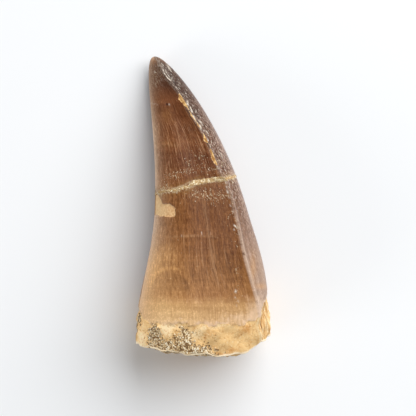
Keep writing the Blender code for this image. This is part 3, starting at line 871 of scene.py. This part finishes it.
# Colours are as on a screen, 0 to 255. Stops are heights up the tooth as a share of 50 mm.
enamel = {
    "stops": (
        (0.10, (204, 164, 116)),
        (0.145, (186, 144, 95)),
        (0.168, (180, 136, 86)),
        (0.20, (148, 100, 56)),
        (0.29, (130, 84, 44)),
        (0.36, (120, 74, 37)),
        (0.45, (112, 67, 32)),
        (0.53, (118, 73, 38)),
        (0.60, (110, 66, 37)),
        (0.655, (98, 56, 32)),
        (0.70, (112, 66, 36)),
        (0.81, (98, 56, 30)),
        (0.85, (104, 60, 33)),
        (0.90, (92, 56, 36)),
        (0.965, (104, 70, 52)),
        (0.985, (146, 100, 68)),
    ),
    "tints": {
        "light": (176, 124, 70),
        "dark": (72, 36, 14),
        # the narrow side's colours: partly its own greyer colour, partly painted reflection and sheen
        "side": (98, 75, 64),
        "sideLow": (154, 129, 110),
        "sidePale": (196, 172, 155),
        "blotch": (140, 112, 92),
        # pale band along the carina: partly worn enamel, partly painted highlight on its sharp edge
        "ridge": (214, 184, 160),
        # painted light: the paler colours laid on the left flank, warmer low down
        "flank": (224, 186, 150),
        "flankLow": (236, 188, 136),
        "line": (186, 144, 104),
        "dentine": (216, 168, 118),
        # pale specks of the dentine, and also its painted light towards the left edge
        "dentineEdge": (238, 204, 154),
        "chipDark": (172, 120, 66),
        "chipEdge": (238, 198, 134),
        "pit": (58, 28, 14),
        "edge": (238, 206, 176),
        "bone": (228, 188, 130),
        "boneBrown": (202, 148, 88),
        "boneCream": (239, 214, 170),
        "boneDark": (136, 96, 54),
        # painted highlight along the rim of the broken end
        "rim": (255, 240, 210),
        "dust": (200, 178, 144),
        "glue": (132, 96, 50),
        # painted highlight: the near-white of glints, also used on pale scuffs
        "glint": (226, 214, 196),
    },
    # what a colour is multiplied by
    "tones": ((1.28, 1.34, 1.45), (0.66, 0.57, 0.5)),  # where a grain is bright, and where it is dark
    # painted light: the left side of the crown is multiplied paler by this, as if lit from the left
    "litLeft": (1.45, 1.6, 1.75),
    "scuffed": (0.5, 0.44, 0.4),
    "sideUpper": (0.6, 0.6, 0.6),
    "dusk": (0.72, 0.66, 0.62),
    # painted shade on the root's right side and painted light on its left side
    "boneRightPaintedShade": (0.84, 0.84, 0.84),
    "boneLeftPaintedLight": (1.34, 1.33, 1.32),
    # noises that follow the growth of the tooth: rates round it and up it, detail, roughness
    "streaks": {
        "thin": (5.0, 0.28, 3, 0.65),
        "dash": (4.6, 1.1, 2, 0.65),
        "layer": (0.12, 1.3, 3, 0.55),
        "broad": (0.9, 0.06, 2, 0.5),
        "band": (1.5, 0.14, 3, 0.6),
        "hair": (4.5, 0.09, 1, 0.5),
        "fibre": (3.0, 0.26, 2, 0.6),
        "mottle": (2.6, 1.3, 2, 0.7),
        "scratch": (0.9, 2.4, 3, 0.65),
        "scuff": (3.0, 1.9, 2, 0.7),
        "spark": (2.7, 2.1, 2, 0.7),
        "dots": (3.2, 2.4, 2, 0.75),
    },
    # noises that are the same every way: rate, detail, roughness
    "clouds": {
        "cloud": (260, 3, 0.55),
        "vein": (420, 4, 0.6),
        "patchy": (700, 4, 0.6),
        "fine": (2300, 2, 0.5),
        "speck": (3600, 2, 0.6),
        "grit": (3600, 1, 0.5),
    },
    "dotSpread": (3.9, 3.9, 3.3),
    "specular": 0.14,
    "gloss": 0.3,
    "dullness": 0.8,
    "bump": 0.05 * mm,
}


def enamelPaint():
    paint = Paint("enamel and root")
    tint = tints(enamel["tints"])
    growth = paint.attribute("growth", "Vector")
    see = SimpleNamespace(up=paint.node("SeparateXYZ", {}, {0: growth}, out=2))
    for label, (around, upwards, detail, roughness) in enamel["streaks"].items():
        stretched = paint.stretched(growth, (around, around, upwards))
        setattr(see, label, paint.noise(stretched, detail=detail, roughness=roughness))
    place = paint.place()
    for label, (rate, detail, roughness) in enamel["clouds"].items():
        setattr(see, label, paint.noise(place, rate, detail, roughness))
    labels = ("near", "faceArc", "sideAcross", "leftward", "rightward", "flank", "mendGap", "rootGap")
    labels += ("endGap", "chip", "patchGap", "pit", "cracks", "sideBone")
    for label in (*labels, *tooth["spots"], *tooth["lines"]):
        setattr(see, label, paint.attribute(label))
    dotGap = paint.dotGap(paint.stretched(growth, enamel["dotSpread"]))
    see.beside = paint.node("Math", {"operation": "ABSOLUTE"}, {0: see.mendGap})
    see.side = paint.between(see.faceArc + (see.mottle - 0.5) * 0.3, 0.34, 0.0) * see.near
    see.patch = paint.between(see.patchGap, -0.04, 0.04)
    see.dust = paint.between(see.dots + see.dusty * 0.22, 0.68, 0.75) * paint.between(dotGap, 0.56, 0.3)
    see.rooted = paint.between(see.rootGap, 0.04, -0.04)
    coat = crownCoat(paint, see, tint)
    layNarrowSide(paint, see, tint, coat)
    layFineMarks(paint, see, tint, coat)
    layLostEnamel(paint, see, tint, coat)
    coat.over(see.rooted, boneCoat(paint, see, tint).colour)
    # gloss: enamel shines, what lies bare or broken doesn't
    dull = 1 - (1 - see.rooted) * (1 - see.patch) * (1 - see.chip)
    gloss = enamel["gloss"] + (see.thin - 0.5) * 0.2 + see.dust * 0.3
    height = see.thin * 0.5 * (1 - dull) + see.speck * (0.06 + 0.6 * dull) + see.scratch * see.side * 0.2
    paint.set({
        "Base Color": coat.colour,
        "Specular IOR Level": enamel["specular"],
        "Roughness": gloss * (1 - dull) + dull * enamel["dullness"],
        "Normal": paint.bump(height, enamel["bump"]),
    })
    return paint.material


# The crown: bands of colour up the tooth, lighter and darker areas, painted light on its left side, and
# streaks that run up it
def crownCoat(paint, see, tint):
    between, up = paint.between, see.up
    level = up / 50 + (see.broad - 0.5) * 0.025 + (see.thin - 0.5) * 0.012 + (see.cloud - 0.5) * 0.02
    stops = [(share, srgb(*colour)) for share, colour in enamel["stops"]]
    coat = Coat(paint, paint.ramped(level, stops), enamel["tones"])
    tone = see.tone + (see.cloud - 0.5) * 0.5 + (see.broad - 0.5) * 0.25
    coat.over(between(tone, 0.0, 1.1), tint.light)
    coat.over(between(tone * -1, 0.0, 1.3), tint.dark)
    # painted light: the crown's left side is made paler, less so higher up
    coat.times(see.leftward * (1 - between(up, 22.0, 40.0) * 0.5), enamel["litLeft"])
    streaky = between(up, 8.0, 13.0) * 0.5 + 0.15
    streaky = between(up, 44.0, 36.0) * streaky + 0.15
    coat.grain(see.thin, ((0.48, 0.68, 1), (0.5, 0.32, 0.8)), streaky)
    coat.grain(see.dash, ((0.5, 0.68, 1.1), (0.5, 0.34, 1)), streaky)
    belt = between(up, 29.0, 31.0) * between(up, 40.0, 36.0)
    coat.over(between(see.thin, 0.54, 0.68) * belt * 0.5, tint.line)
    coat.grain(see.layer, ((0.5, 0.75, 0.5), (0.5, 0.28, 0.4)))
    return coat


# The narrow side is greyer and paler, partly its own colour and partly painted reflection, with painted sheen
# towards its right edge. Scuffs and painted glints cover it and the tip. Scuffs thin out down the side.
def layNarrowSide(paint, see, tint, coat):
    between, up, side = paint.between, see.up, see.side
    low, calm = between(up, 27.0, 13.0), between(up, 31.0, 19.0)
    # partly painted reflection: the narrow side is laid over in a greyer colour, paler low down
    coat.over(side * (0.45 + low * 0.35), paint.mix(low, tint.side, tint.sideLow))
    worn = side * (1 - calm * 0.85) + (1 - side) * between(up, 43.5, 48.0) * 0.5
    coat.grain(see.band, ((0.5, 0.66, 0.65), (0.5, 0.34, 0.6)), side * calm)
    coat.grain(see.dash, ((0.52, 0.66, 0.5),), side * calm)
    coat.times(worn * between(see.scuff, 0.54, 0.38), enamel["scuffed"])
    fleck = between(see.scuff, 0.53, 0.68) * 0.5 + between(see.scratch, 0.55, 0.7) * 0.15
    coat.over(worn * fleck, tint.sidePale)
    # painted sheen: the upper narrow side is darker next to the carina
    inner = between(see.sideAcross, 0.75, 0.15) * 0.6 + 0.4
    coat.times(between(up, 30.0, 42.0) * side * inner, enamel["sideUpper"])
    coat.times(between(up, 42.0, 46.0) * between(up, 49.7, 48.8), enamel["dusk"])
    # painted glints: sparse near-white highlights on the narrow side and the tip
    sparse = between(see.spark + between(see.sideAcross, 0.8, 0.1) * 0.07, 0.62, 0.74)
    coat.over(worn * sparse * 0.6, tint.glint)
    # painted sheen: paler towards the narrow side's right edge
    far = between(see.sideAcross, 0.2, 0.6) * side * (1 - low * 0.8)
    far = far * between(up, 44.0, 34.0) * between(see.scuff, 0.38, 0.6)
    coat.over(far * 0.45, tint.sidePale)
    coat.over(side * see.blotch, tint.blotch)
    coat.over(side * see.golden, tint.boneBrown)
    # partly pale worn enamel along the carina, partly a painted highlight on its edge
    ridge = between(see.faceArc, 0.4, 0.15) * between(see.faceArc, -0.4, -0.1) * see.near
    ridge = ridge * (between(up, 33.0, 14.0) * 0.35 + 0.1) * between(see.mottle, 0.24, 0.46)
    coat.over(ridge, tint.ridge)


# Painted light on the left flank, a fine mottle, pale hairlines and growth lines, dust and glue beside the
# mend, and small near-white marks that are partly pale scuffs and partly painted highlights
def layFineMarks(paint, see, tint, coat):
    between, up = paint.between, see.up
    # painted light: the left flank is laid over in a paler colour, as if lit from the left
    flank = see.flank * (1 - see.side) * (0.7 + 0.6 * see.thin) * (1 - between(up, 36.0, 44.0) * 0.5)
    coat.over(flank, paint.mix(between(up, 22.0, 12.0), tint.flank, tint.flankLow))
    even = 1 - between(up, 30.0, 11.0) * 0.7
    coat.grain(see.mottle, ((0.5, 0.66, 0.55), (0.5, 0.34, 0.6)), even)
    coat.grain(see.grit, ((0.54, 0.68, 0.7),))
    coat.over(between(see.hair, 0.66, 0.74) * between(up, 44.0, 40.0) * 0.4, tint.line)
    coat.over(see.streak * between(see.thin, 0.35, 0.6) * 0.7, tint.line)
    coat.over(between(see.beside, 1.3, 0.4) * between(see.cloud + see.mottle, 0.8, 1.1) * 0.5, tint.glue)
    coat.over(see.dust * 0.85, tint.dust)
    smear = between(see.beside, 0.6, 0.2) * between(see.mottle + see.speck * 0.5, 0.62, 0.9)
    coat.over(smear * 0.8, tint.dust)
    # near-white marks along the listed lines, partly pale scuffs and partly painted highlights
    coat.over(see.glint * (between(see.spark, 0.38, 0.54) * 0.7 + 0.3), tint.glint)


# Lost enamel, which bares the dentine, and the pale broken edge of the enamel above the root
def layLostEnamel(paint, see, tint, coat):
    between = paint.between
    chipped = Coat(paint, paint.mix(between(see.mottle, 0.42, 0.6), tint.chipDark, tint.chipEdge))
    chipped.over(between(see.chip, 0.98, 0.5) * 0.6, tint.chipEdge)
    coat.over(between(see.chip, 0.35, 0.6), chipped.colour)
    dentine = Coat(paint, paint.mix(between(see.speck, 0.4, 0.65) * 0.6, tint.dentine, tint.dentineEdge))
    # painted light: the bared dentine is paler towards the left edge, as if lit
    dentine.over(between(see.leftward, 0.75, 1.0) * 0.7, tint.dentineEdge)
    dentine.over(between(see.mottle, 0.5, 0.35) * 0.35, tint.chipDark)
    coat.over(see.patch, dentine.colour)
    coat.over(between(see.pit, 0.3, 0.7), tint.pit)
    rim = between(see.rootGap, -0.05, 0.05) * between(see.rootGap + (see.mottle - 0.5) * 3, 0.7, 0.1)
    coat.over(rim * between(see.cloud, 0.4, 0.6) * 0.5, tint.edge)
    flaky = between(see.rootGap, 5.0, 0.6) * see.flake
    flaky = flaky + (see.thin - 0.5) * 0.5 + (see.mottle - 0.5) * 1.0 + (see.cloud - 0.5) * 0.8
    coat.over(between(flaky, 0.1, 1.1) * 0.5, tint.edge)


# Root bone: stained, veined, specked and porous, with fibres on the narrow side, painted shade on its right,
# painted light on its left, and a painted highlight along the rim of the broken end
def boneCoat(paint, see, tint):
    between, side = paint.between, see.sideBone
    stained = between(see.patchy + see.stain * 0.3, 0.56, 0.9)
    bone = Coat(paint, paint.mix(stained, tint.bone, tint.boneBrown))
    bone.over(between(see.patchy * -1 + see.pale * 0.6, -0.42, 0.15), tint.boneCream)
    bone.over(between(see.vein, 0.47, 0.5) * between(see.vein, 0.53, 0.5) * 0.25, tint.boneDark)
    bone.over(between(see.speck, 0.56, 0.72) * 0.4, tint.boneBrown)
    bone.over(between(see.speck, 0.46, 0.3) * 0.5, tint.boneCream)
    bone.over(side * between(see.fibre, 0.51, 0.58) * 0.7, tint.boneCream)
    bone.over(side * between(see.fibre, 0.49, 0.41) * 0.9, tint.boneBrown)
    bone.over(side * between(see.fibre, 0.4, 0.33) * 0.8, tint.boneDark)
    bone.over(between(see.cracks, 0.4, 0.9) * 0.7, tint.boneDark)
    bone.over(between(see.fine, 0.54, 0.66) * 0.55, tint.boneBrown)
    bone.over(between(see.fine + see.sandy * 0.14, 0.68, 0.76) * 0.6, tint.boneDark)
    # painted shade on the right of the root, painted light on its left
    bone.times(between(see.rightward, 0.8, 0.98), enamel["boneRightPaintedShade"])
    bone.times(between(see.leftward, 0.4, 0.9), enamel["boneLeftPaintedLight"])
    # painted highlight: the bone is paler along the rim of the broken end
    bone.over(between(see.endGap + see.mottle * 0.3, 0.55, 0.2) * 0.8, tint.rim)
    return bone


# The filler lies along the mended break, thicker over the middle of the front face. Each grain has a number
# from -1 to 1, which picks its colour.
filler = {
    "thin": 0.15 * mm,
    "thick": 0.34 * mm,
    "thickFrom": (-8 * degree, 10 * degree),
    "thickTo": (56 * degree, -18 * degree),
    "uneven": 0.05 * mm,
    "unevenWaves": ((19, 0), (43, 1)),
    "widths": (0.5 * mm, 101, 3),
    "wander": (2.4 * mm, 111, 3),
    "wanderWidth": 0.05 * mm,
    "heights": (0.6 * mm, 121, 2),
    "rise": 0.06 * mm,
    "foot": 0.32 * mm,
    "columns": 900,
    "around": 24,
    "grainSize": 0.17 * mm,
    "grainHeight": 0.03 * mm,
    "tints": {
        "sand": (188, 154, 106),
        "pale": (222, 200, 160),
        "dark": (150, 112, 64),
        "olive": (160, 124, 76),
        "bright": (248, 234, 200),
    },
}


def fillerWidth(turn):  # half its width
    start, startBlend = filler["thickFrom"]
    end, endBlend = filler["thickTo"]
    thick = ramp((turn - start) / startBlend) * ramp((turn - end) / endBlend)
    uneven = filler["uneven"] * sum(np.sin(rate * turn + phase) for rate, phase in filler["unevenWaves"])
    return filler["thin"] + (filler["thick"] - filler["thin"]) * thick + uneven


# A band carried along the mend, closed round the tooth. Its section is half a rounded bead with a foot in
# the joint, and its width, height and surface vary along it.
def buildFiller():
    turn = np.linspace(-math.pi, math.pi, filler["columns"], endpoint=False)
    around = np.arange(filler["around"]) / filler["around"] * 2 * math.pi
    turns, rounds = np.meshgrid(turn, around)
    line = mendLine(turns)
    probe = plainPoints(turns, line)
    width = fillerWidth(turns) * (1 + 0.3 * layeredNoise(probe, *filler["widths"]))
    line = line + filler["wanderWidth"] * layeredNoise(probe, *filler["wander"])
    y = line + width * np.cos(rounds)
    height = filler["rise"] * width / filler["thick"] * (1 + 0.3 * layeredNoise(probe, *filler["heights"]))
    lift = np.where(np.sin(rounds) > 0, height, filler["foot"]) * np.sin(rounds)
    gap, number = cellNoise(plainPoints(turns, y, lift), filler["grainSize"], 131)
    bumps = filler["grainHeight"] * np.clip(1 - gap / 0.7, 0, 1) * (np.sin(rounds) > -0.05)
    points = plainPoints(turns, y, lift + bumps)
    points[..., 2] = np.maximum(points[..., 2], 0)
    thin = (filler["thick"] - fillerWidth(turns)) / (filler["thick"] - filler["thin"])
    attributes = {"grainNumber": number, "thin": ramp(thin * 1.4 - 0.2) * (0.75 + 0.5 * number)}
    # rows run along the band, and the last row joins the first
    points = np.concatenate((points, points[:1]))
    attributes = {label: np.concatenate((values, values[:1])) for label, values in attributes.items()}
    attributes = {label: values[::-1] for label, values in attributes.items()}
    piece = gridMesh("filler_bead", points[::-1] + shift, attributes)
    weld(piece)
    return piece


def fillerPaint():
    paint = Paint("sandy filler")
    tint = tints(filler["tints"])
    between, number = paint.between, paint.attribute("grainNumber")
    speck = paint.noise(paint.place(), 3000, detail=2)
    coat = Coat(paint, paint.mix(between(number, 0.0, 0.6), tint.sand, tint.pale))
    coat.over(between(number, -0.5, -0.8) * 0.7, tint.dark)
    coat.over(between(speck, 0.5, 0.7) * 0.5, tint.dark)
    coat.over(paint.attribute("thin") * 0.75, tint.olive)
    coat.over(between(number, 0.5, 0.75) * 0.8, tint.bright)
    paint.set({"Base Color": coat.colour, "Roughness": 0.85, "Normal": paint.bump(speck, 0.05 * mm)})
    return paint.material


matrix = {
    # lobes: place across and up from the broken end, radius across and up, depth, all in mm
    "lobes": (
        (-8.0, 3.2, 1.1, 2.3, 3.2),
        (-3.1, 2.8, 1.7, 2.2, 3.2),
        (-4.2, 0.2, 5.6, 2.6, 6.4),
        (-0.7, 0.3, 3.3, 1.9, 3.8),
        (-6.2, 1.5, 2.6, 1.6, 3.0),
        (-10.9, 6.1, 0.6, 1.1, 1.2),
    ),
    "ragged": (0.42 * mm, 71, 2),
    "raggedWidth": 0.95 * mm,
    "proud": 0.08 * mm,
    "sunk": 0.5 * mm,
    "edge": 0.14 * mm,
    "edgeGrains": (0.22, -0.3, 0.14),  # how far small and large grains move the edge, and a constant
    "rim": (0.08, 0.2),
    "below": 0.15,
    "kept": -0.58 * mm,
    "grainSize": 0.22 * mm,
    "smallGrain": 0.55,
    "grainHeight": 0.13 * mm,
    "thickness": 0.7 * mm,
    "turns": (18 * degree, 190 * degree),
    "top": 8.2 * mm,
    "innermost": 0.3,
    "columns": 480,
    "rows": 140,
    "endRings": 80,
    "tints": {
        "sand": (232, 204, 158),
        "pale": (250, 238, 210),
        "dark": (124, 92, 54),
        "brown": (200, 164, 114),
    },
}


def matrixDepth(points):  # how far a point is inside the matrix's lobes, less than 0 outside
    inside = np.full(points.shape[:-1], -9 * mm)
    turn = np.linspace(0, 170 * degree, 400)
    front = plainPoints(turn, np.full(400, 2 * mm))
    for x, up, radiusX, radiusUp, depth in matrix["lobes"]:
        level = front[np.abs(front[:, 0] + shift[0] - x * mm).argmin(), 2]
        centre = np.array([x * mm, up * mm + cadBox[0].y, level]) - shift
        size = np.array([radiusX, radiusUp, depth]) * mm
        away = np.linalg.norm((points - centre) / size, axis=-1)
        inside = np.maximum(inside, (1 - away) * min(radiusX, radiusUp) * mm)
    return inside + matrix["raggedWidth"] * layeredNoise(points, *matrix["ragged"])


# The surface of the root again, raised by grains where a point is inside the lobes and sunk outside them
def buildMatrix():
    turn = np.linspace(*matrix["turns"], matrix["columns"])
    end = breakY(turn)
    y = end + (matrix["top"] - end) * np.linspace(0, 1, matrix["rows"])[:, None]
    wall, attributes = toothSurface(np.broadcast_to(turn, y.shape), y)
    shares = np.linspace(matrix["innermost"], 1, matrix["endRings"], endpoint=False)
    ringTurn, ringShare = np.meshgrid(turn, shares)
    cap, ignored = endSurface(ringTurn, ringShare)
    points = np.concatenate((cap, wall))
    rootGap = np.concatenate((np.full(cap.shape[:2], -9.0), attributes["rootGap"]))
    endGap = np.concatenate((8 * (1 - ringShare), attributes["endGap"]))
    inside = np.minimum(matrixDepth(points), (matrix["below"] - rootGap) * 0.5 * mm)
    gap, number = cellNoise(points, matrix["grainSize"], 81)
    smallGap, smallNumber = cellNoise(points, matrix["smallGrain"] * matrix["grainSize"], 91)
    grain = np.sqrt(np.clip(1 - (gap / 0.75) ** 2, 0, 1)) * (0.4 + 0.6 * (number > -0.2))
    grain = 0.75 * grain + 0.4 * np.clip(1 - smallGap / 0.6, 0, 1)
    # whole grains come or go along the edge, and none cover the rim of the broken end
    smallShare, share, start = matrix["edgeGrains"]
    rimFrom, rimWidth = matrix["rim"]
    edge = ramp((inside + (smallShare * smallNumber + share * number + start) * mm) / matrix["edge"])
    edge = edge * ramp((endGap - rimFrom) / rimWidth)
    raised = matrix["proud"] + matrix["grainHeight"] * (grain - 0.5)
    height = edge * raised - matrix["sunk"] * (1 - edge)
    normal = smoothed(normalsOf(smoothed(points, 4)), 4)
    outer = points + normal * height[..., None]
    inner = points - normal * matrix["thickness"]
    for sheet in (outer, inner):
        sheet[..., 2] = np.maximum(sheet[..., 2], 0)
    attributes = {"endGap": endGap, "grain": grain, "grainNumber": number, "smallNumber": smallNumber}
    return sheetMesh("matrix_surface", outer + shift, inner + shift, inside > matrix["kept"], attributes)


def matrixPaint():
    paint = Paint("sandy matrix")
    tint = tints(matrix["tints"])
    between, number = paint.between, paint.attribute("grainNumber")
    speck = paint.noise(paint.place(), 3200, detail=2)
    coat = Coat(paint, paint.mix(between(number, 0.2, 0.45), tint.sand, tint.pale))
    coat.over(between(paint.attribute("smallNumber"), 0.1, -0.3), tint.brown)
    coat.over(between(number, -0.35, -0.6), tint.dark)
    coat.over(between(paint.attribute("grain"), 0.4, 0.05), tint.dark)
    coat.over(between(speck, 0.54, 0.66) * 0.6, tint.dark)
    # painted highlight: the matrix is paler along the rim of the broken end
    coat.over(between(paint.attribute("endGap") + speck * 0.2, 0.4, 0.2) * 0.6, tint.pale)
    paint.set({"Base Color": coat.colour, "Roughness": 0.92, "Normal": paint.bump(speck, 0.08 * mm)})
    return paint.material


grains = {
    "seed": 5,
    "size": (0.03 * mm, 0.07 * mm),
    "sizeKinds": ((0.6, 1, 1.5), (0.5, 0.4, 0.1)),  # factors, and how often each comes
    "clusters": (  # across, up, spread across, spread up, how many
        (-4.8, 30.2, 1.3, 0.5, 34),
        (-3.1, 30.6, 0.5, 0.4, 12),
        (-0.8, 33.6, 1.0, 0.8, 26),
        (-1.0, 27.3, 1.5, 0.8, 46),
        (4.4, 27.4, 1.0, 1.6, 42),
        (-5.6, 27.9, 1.2, 0.7, 26),
        (1.2, 30.6, 1.8, 0.5, 22),
        (5.5, 21.1, 0.22, 0.5, 12),
        (5.2, 23.4, 0.5, 1.0, 7),
        (5.6, 11.0, 0.15, 0.3, 5),
        (5.5, 9.4, 0.4, 0.7, 6),
        (1.9, 24.8, 0.3, 0.3, 2),
        (2.5, 32.4, 0.6, 0.8, 12),
        (-7.8, 47.3, 0.1, 0.3, 3),
    ),
    "tints": {"brown": (170, 142, 108), "pale": (228, 210, 182)},
}


# Loose grains of filler stuck to the crown: many small lumps, each an icosahedron pushed out of true
def buildGrains():
    chance = np.random.default_rng(grains["seed"])
    golden = (1 + 5**0.5) / 2
    corners = np.array([(a, b * golden, 0) for a in (-1, 1) for b in (-1, 1)]) / math.hypot(1, golden)
    corners = np.concatenate((corners, corners[:, (2, 0, 1)], corners[:, (1, 2, 0)]))
    apart = np.linalg.norm(corners[:, None] - corners, axis=-1)
    sides = [trio for trio in itertools.combinations(range(12), 3) if apart[np.ix_(trio, trio)].max() < 1.2]
    sides = [(a, b, c) if np.linalg.det(corners[[a, b, c]]) > 0 else (a, c, b) for a, b, c in sides]
    # a coarse net of the surface, to find the place that shows at a given spot from above
    turn, y = np.meshgrid(np.linspace(-70, 175, 500) * degree, np.linspace(6, 49.6, 900) * mm)
    net, ignored = toothSurface(turn, y)
    normal = normalsOf(net)
    visible = normal[..., 2] > 0.1
    net, normal = net[visible], normal[visible]
    netX, netUp = fromAbove(net)
    factors, shares = grains["sizeKinds"]
    vertices, faces = [], []
    for x, up, spreadX, spreadUp, count in grains["clusters"]:
        places = chance.normal((x, up), (spreadX, spreadUp), (count, 2))
        for place in places:
            nearest = np.argmin((netX - place[0]) ** 2 + (netUp - place[1]) ** 2)
            size = chance.uniform(*grains["size"]) * chance.choice(factors, p=shares)
            lump = corners * size * chance.uniform(0.65, 1.35, (12, 1)) * chance.uniform(0.7, 1.3, 3)
            lump = lump + net[nearest] + normal[nearest] * size * 0.35
            faces += [[side + len(vertices) * 12 for side in trio] for trio in sides]
            vertices.append(lump)
    return addPiece("filler_grains", np.concatenate(vertices) + shift, faces)


def grainPaint():
    paint = Paint("filler grains")
    tint = tints(grains["tints"])
    speck = paint.noise(paint.place(), 900, detail=2)
    colour = paint.mix(paint.between(speck, 0.35, 0.65), tint.brown, tint.pale)
    paint.set({"Base Color": colour, "Roughness": 0.7})
    return paint.material


def dress(piece, paint, node=None):
    piece.data.materials.append(paint)
    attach(piece, "root")
    if node:
        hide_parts(node)
    print(piece.name + ":", len(piece.data.polygons), "faces")


dress(buildTooth(), enamelPaint(), "tooth")
dress(buildFiller(), fillerPaint(), "filler")
dress(buildMatrix(), matrixPaint(), "matrix")
dress(buildGrains(), grainPaint())

studio = {
    "floorSize": 3.0,
    "floorShade": 0.9,
    "tint": (0.98, 1, 1.02),
    "sky": 0.3,
    "keyBearing": 0.83,
    "keyHeight": 0.66,
    "keyDistance": 0.8,
    "keySize": 1.1,
    "keyPower": 11.0,
    "fillBearing": 3.6,
    "fillHeight": 0.26,
    "fillDistance": 0.8,
    "fillSize": 0.45,
    "fillPower": 1.8,
}


def buildStage():
    size = studio["floorSize"]
    corners = np.array([(-size, -size, 0), (size, -size, 0), (size, size, 0), (-size, size, 0)])
    floor = addPiece("floor", corners, [(0, 1, 2, 3)])
    paint = Paint("floor")
    paint.set({"Base Color": (studio["floorShade"],) * 3, "Roughness": 0.9, "Specular IOR Level": 0.2})
    floor.data.materials.append(paint.material)
    print("floor:", 2 * size, "m wide")


def buildSky():
    world = bpy.data.worlds.new("studio")
    world.use_nodes = True
    background = world.node_tree.nodes["Background"]
    background.inputs["Color"].default_value = (*studio["tint"], 1)
    background.inputs["Strength"].default_value = studio["sky"]
    bpy.context.scene.world = world


def buildLight(name):  # a round soft light that looks at the origin
    light = bpy.data.lights.new(name, "AREA")
    light.shape = "DISK"
    light.size = studio[name + "Size"]
    light.energy = studio[name + "Power"]
    light.color = studio["tint"]
    lamp = bpy.data.objects.new(name, light)
    bpy.context.scene.collection.objects.link(lamp)
    bearing, height = studio[name + "Bearing"], studio[name + "Height"]
    level = math.cos(height)
    away = Vector((level * math.cos(bearing), level * math.sin(bearing), math.sin(height)))
    lamp.location = away * studio[name + "Distance"]
    lamp.rotation_euler = (-away).to_track_quat("-Z", "Y").to_euler()


def buildCamera():  # looks straight down
    lens = bpy.data.cameras.new("camera")
    eye = bpy.data.objects.new("camera", lens)
    bpy.context.scene.collection.objects.link(eye)
    eye.location = (camera["x"], camera["y"], camera["height"])
    lens.lens = lens.sensor_width * (camera["height"] - camera["viewLevel"]) / camera["viewWidth"]
    lens.clip_start = 0.01
    bpy.context.scene.camera = eye


buildStage()
buildSky()
buildLight("key")
buildLight("fill")
buildCamera()
bpy.context.scene.view_settings.view_transform = "Standard"
print("lights and camera placed")
